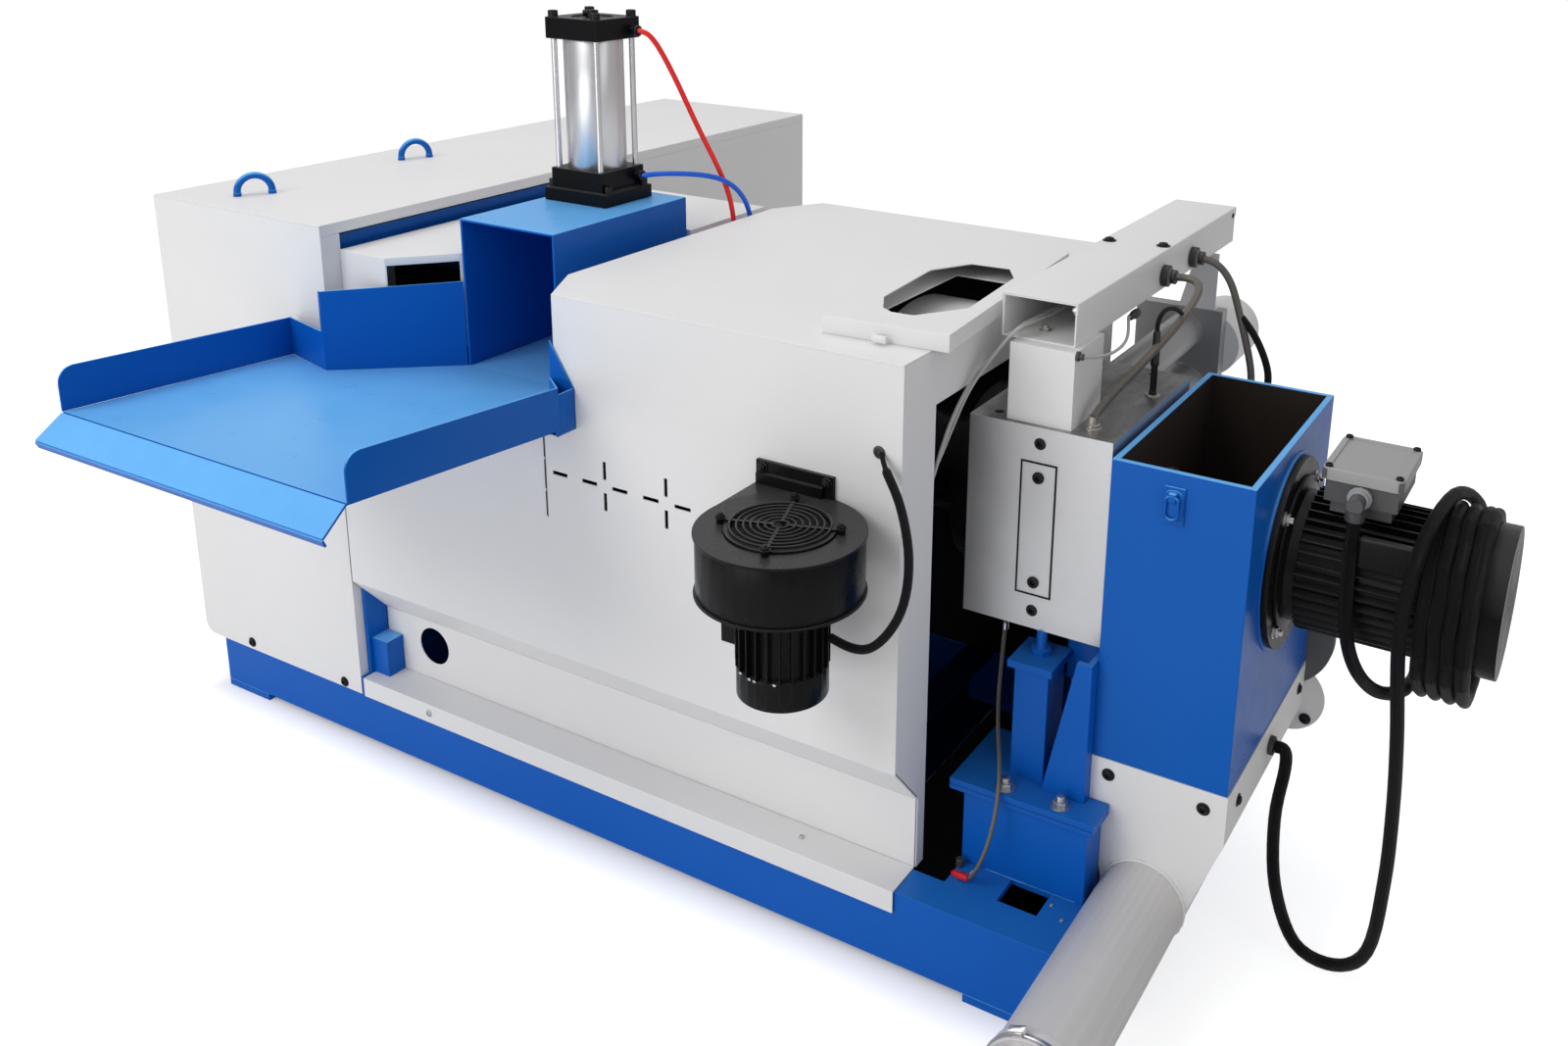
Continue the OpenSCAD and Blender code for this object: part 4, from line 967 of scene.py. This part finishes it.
unite(collars, "beam_collars", "grey_metal", plastic("warm_grey", (0.14, 0.13, 0.12), 0.4))
leg_gland = stand(turn_on_lathe([(9, 0), (9, 5), (6, 7), (6, 13)], 24), (2126, 270, 1190), (1, 0, 0))
plug = stand(turn_on_lathe([(8, 0), (9, 2), (9, 20), (6.5, 24), (6.5, 40), (4, 44)], 24), (2112, 615, 1181), (0, -1, 0))
unite([leg_gland, plug], "beam_plug", "black_paint", dark_plastic)
# Black discs at the die block's top: painted shade inside its holes.
holes = [stand(turn_on_lathe([(r, -0.4), (r, 0.25)], 28), (x, y, 1050)) for x, y, r in ((2059, 547, 8), (1974, 286, 9), (2140, 640, 5))]
unite(holes, "block_holes", "black_paint", bpy.data.materials["deep_black"])

# %% Wires of the probe, the beam and the leg
PROBE_WIRE = [(2185, 523, 1178), (2185, 526, 1200), (2190, 548, 1216), (2199, 580, 1212), (2204, 606, 1196)]
LEG_WIRE = [(2138, 270, 1190), (2160, 330, 1180), (2158, 430, 1178), (2132, 510, 1188), (2113, 560, 1186), (2112, 574, 1181)]
WIRE_ONE = [(2030, 420, 1228), (2020, 340, 1226), (2006, 284, 1220), (1984, 270, 1188), (1958, 262, 1150), (1944, 220, 1120),
            (1940, 160, 1070), (1934, 125, 1010), (1924, 112, 955), (1906, 62, 905), (1893, 12, 880)]
WIRE_TWO = [(2036, 430, 1228), (2030, 350, 1225), (2014, 282, 1224), (1990, 262, 1196), (1962, 246, 1150), (1946, 205, 1105),
            (1936, 160, 1040), (1920, 130, 970), (1894, 70, 890), (1880, 14, 862)]
SIDE_HOSE = [(2228, 951, 1104), (2256, 953, 1072), (2280, 954, 1030), (2296, 954, 985), (2293, 952, 940), (2272, 950, 906)]
grey_wire = plastic("grey_wire", (0.42, 0.42, 0.41), 0.35)
for name, route, mm, finish, slot in (("probe_wire", PROBE_WIRE, 9, None, "black_conduit"),
                                      ("leg_wire", LEG_WIRE, 6, grey_wire, "braided_hose"),
                                      ("beam_wire_1", WIRE_ONE, 7, grey_wire, "braided_hose"),
                                      ("beam_wire_2", WIRE_TWO, 6, grey_wire, "braided_hose")):
    wear(free_cord(name, route, mm), slot, finish)
side_hose = free_cord("side_hose", SIDE_HOSE, 16)
wear(side_hose, "black_conduit")

# %% [markdown]
# The level sensor hangs under the die block on its cable. A silver ferrule and a short black
# stub hold it there, and its red tip lies on the deck beside a small black magnet.

# %% Sensor fittings
stub = stand(turn_on_lathe([(6, 0), (6, 22), (4.5, 24)], 24), (2004, 290, 627))
magnet = stand(turn_on_lathe([(8, 0), (8, 16), (7, 17)], 28), (2003, 130, 178))
unite([stub, magnet], "sensor_stub", "black_paint", dark_plastic)
sleeve = stand(turn_on_lathe([(5, 0), (6.5, 1), (6.5, 14), (5, 16)], 28), (2004, 289.5, 609))
sleeve_low = stand(turn_on_lathe([(5, 0), (5.6, 1), (5.6, 16), (4.6, 18)], 28), (2042, 93, 196), (0.35, -0.30, 0.6))
unite([sleeve, sleeve_low], "sensor_ferrules", "grey_metal", metal("bright_ferrule", (0.75, 0.75, 0.75), 0.2))
tip = stand(turn_on_lathe([(4, 0), (6.6, 2), (7.2, 12), (7, 30), (5.5, 38), (3, 41)], 28), (2040, 92, 190), (-0.75, 0.15, -0.14))
unite([tip], "sensor_tip", "red_hose", red_plastic)

# %% [markdown]
# The pedestal is welded to the deck, and its head plate lies on it as a second sheet, which shows as a dark line. The
# bead is a long rod whose points are shaken.

# %% Weld beads and the seam of the pedestal
def bead(start, end, radius, seed):
    span = (Vector(end) - Vector(start))
    line = rod(radius, span.length, 8)
    pick(line, lambda f: True)
    bpy.ops.mesh.subdivide(number_cuts=6)
    bpy.ops.transform.vertex_random(offset=0.0006, seed=seed)
    object_mode()
    return stand(line, start, span)

unite([bead((2050, 148, 179), (2232, 148, 179), 2.6, 5)], "deck_bead", "blue_paint")
seam = slab((1969.6, 137.6, 344.6), (2258.4, 338.4, 345.8))
round_off(seam, sharp, 0.2, 1)
unite([seam], "pedestal_seam", "black_paint", bpy.data.materials["deep_black"])

# %% [markdown]
# The tray's right wall runs on to the housing and folds back along its front, rising as it goes.
# The folded end starts as a slab and is cut along its sloping top edge.

# %% Folded end of the tray wall and the dark slit beside it
run_on = slab((1203.6, -64, 952), (1208, -13, 1036))
round_off(run_on, sharp, 0.8, 2)
fold = slab((1150, -15, 952), (1208, -10.8, 1126))
pick(fold, lambda f: True)
bpy.ops.mesh.bisect(plane_co=at(1208, -12, 1034), plane_no=(0.84, 0, 0.54), use_fill=True, clear_outer=True)
object_mode()
round_off(fold, sharp, 0.8, 2)
unite([run_on, fold], "tray_end", "blue_paint")
slits = [slab((1118.6, -10.7, a), (1121.4, -9.8, b)) for a, b in ((747, 800), (806, 868), (874, 921))]
for piece in slits:
    round_off(piece, sharp, 0.3, 1)
unite(slits, "slit_shadow", "black_paint", bpy.data.materials["deep_black"])

# %% [markdown]
# A few last plates: a black pan in the bottom of the base, painted shade inside it, the groove round the cover strip,
# the web under the die block that fills the corner of the bracket, and a small latch on the edge of the access lid. The
# groove is a thin box opened through its front and its back.

# %% Shaded inside, groove, web and lid latch
deep_black = bpy.data.materials["deep_black"]
# A black pan in the bottom of the base: painted shade where the floor would show between the rails.
pan = slab((1720, 80, 20), (2245, 880, 23))
round_off(pan, sharp, 0.8, 1)
unite([pan], "base_shade_pan", "black_paint", deep_black)
groove = slab((2037, 249.4, 717), (2109, 250.2, 983))
pick(groove, lambda f: f.normal.y > 0.9)
bpy.ops.mesh.delete(type="FACE")
pick(groove, lambda f: f.normal.y < -0.9)
bpy.ops.mesh.inset(thickness=0.0038)
bpy.ops.mesh.delete(type="FACE")
unite([groove], "strip_groove", "black_paint", deep_black)
web = slab((2130, 300, 540), (2208, 308, 650))
round_off(web, sharp, 1.0, 2)
unite([web], "bracket_web", "blue_paint")
latch = slab((1828, 60, 1221), (1856, 69, 1233))
round_off(latch, sharp, 2.0, 3)
unite([latch], "lid_latch", "white_paint")
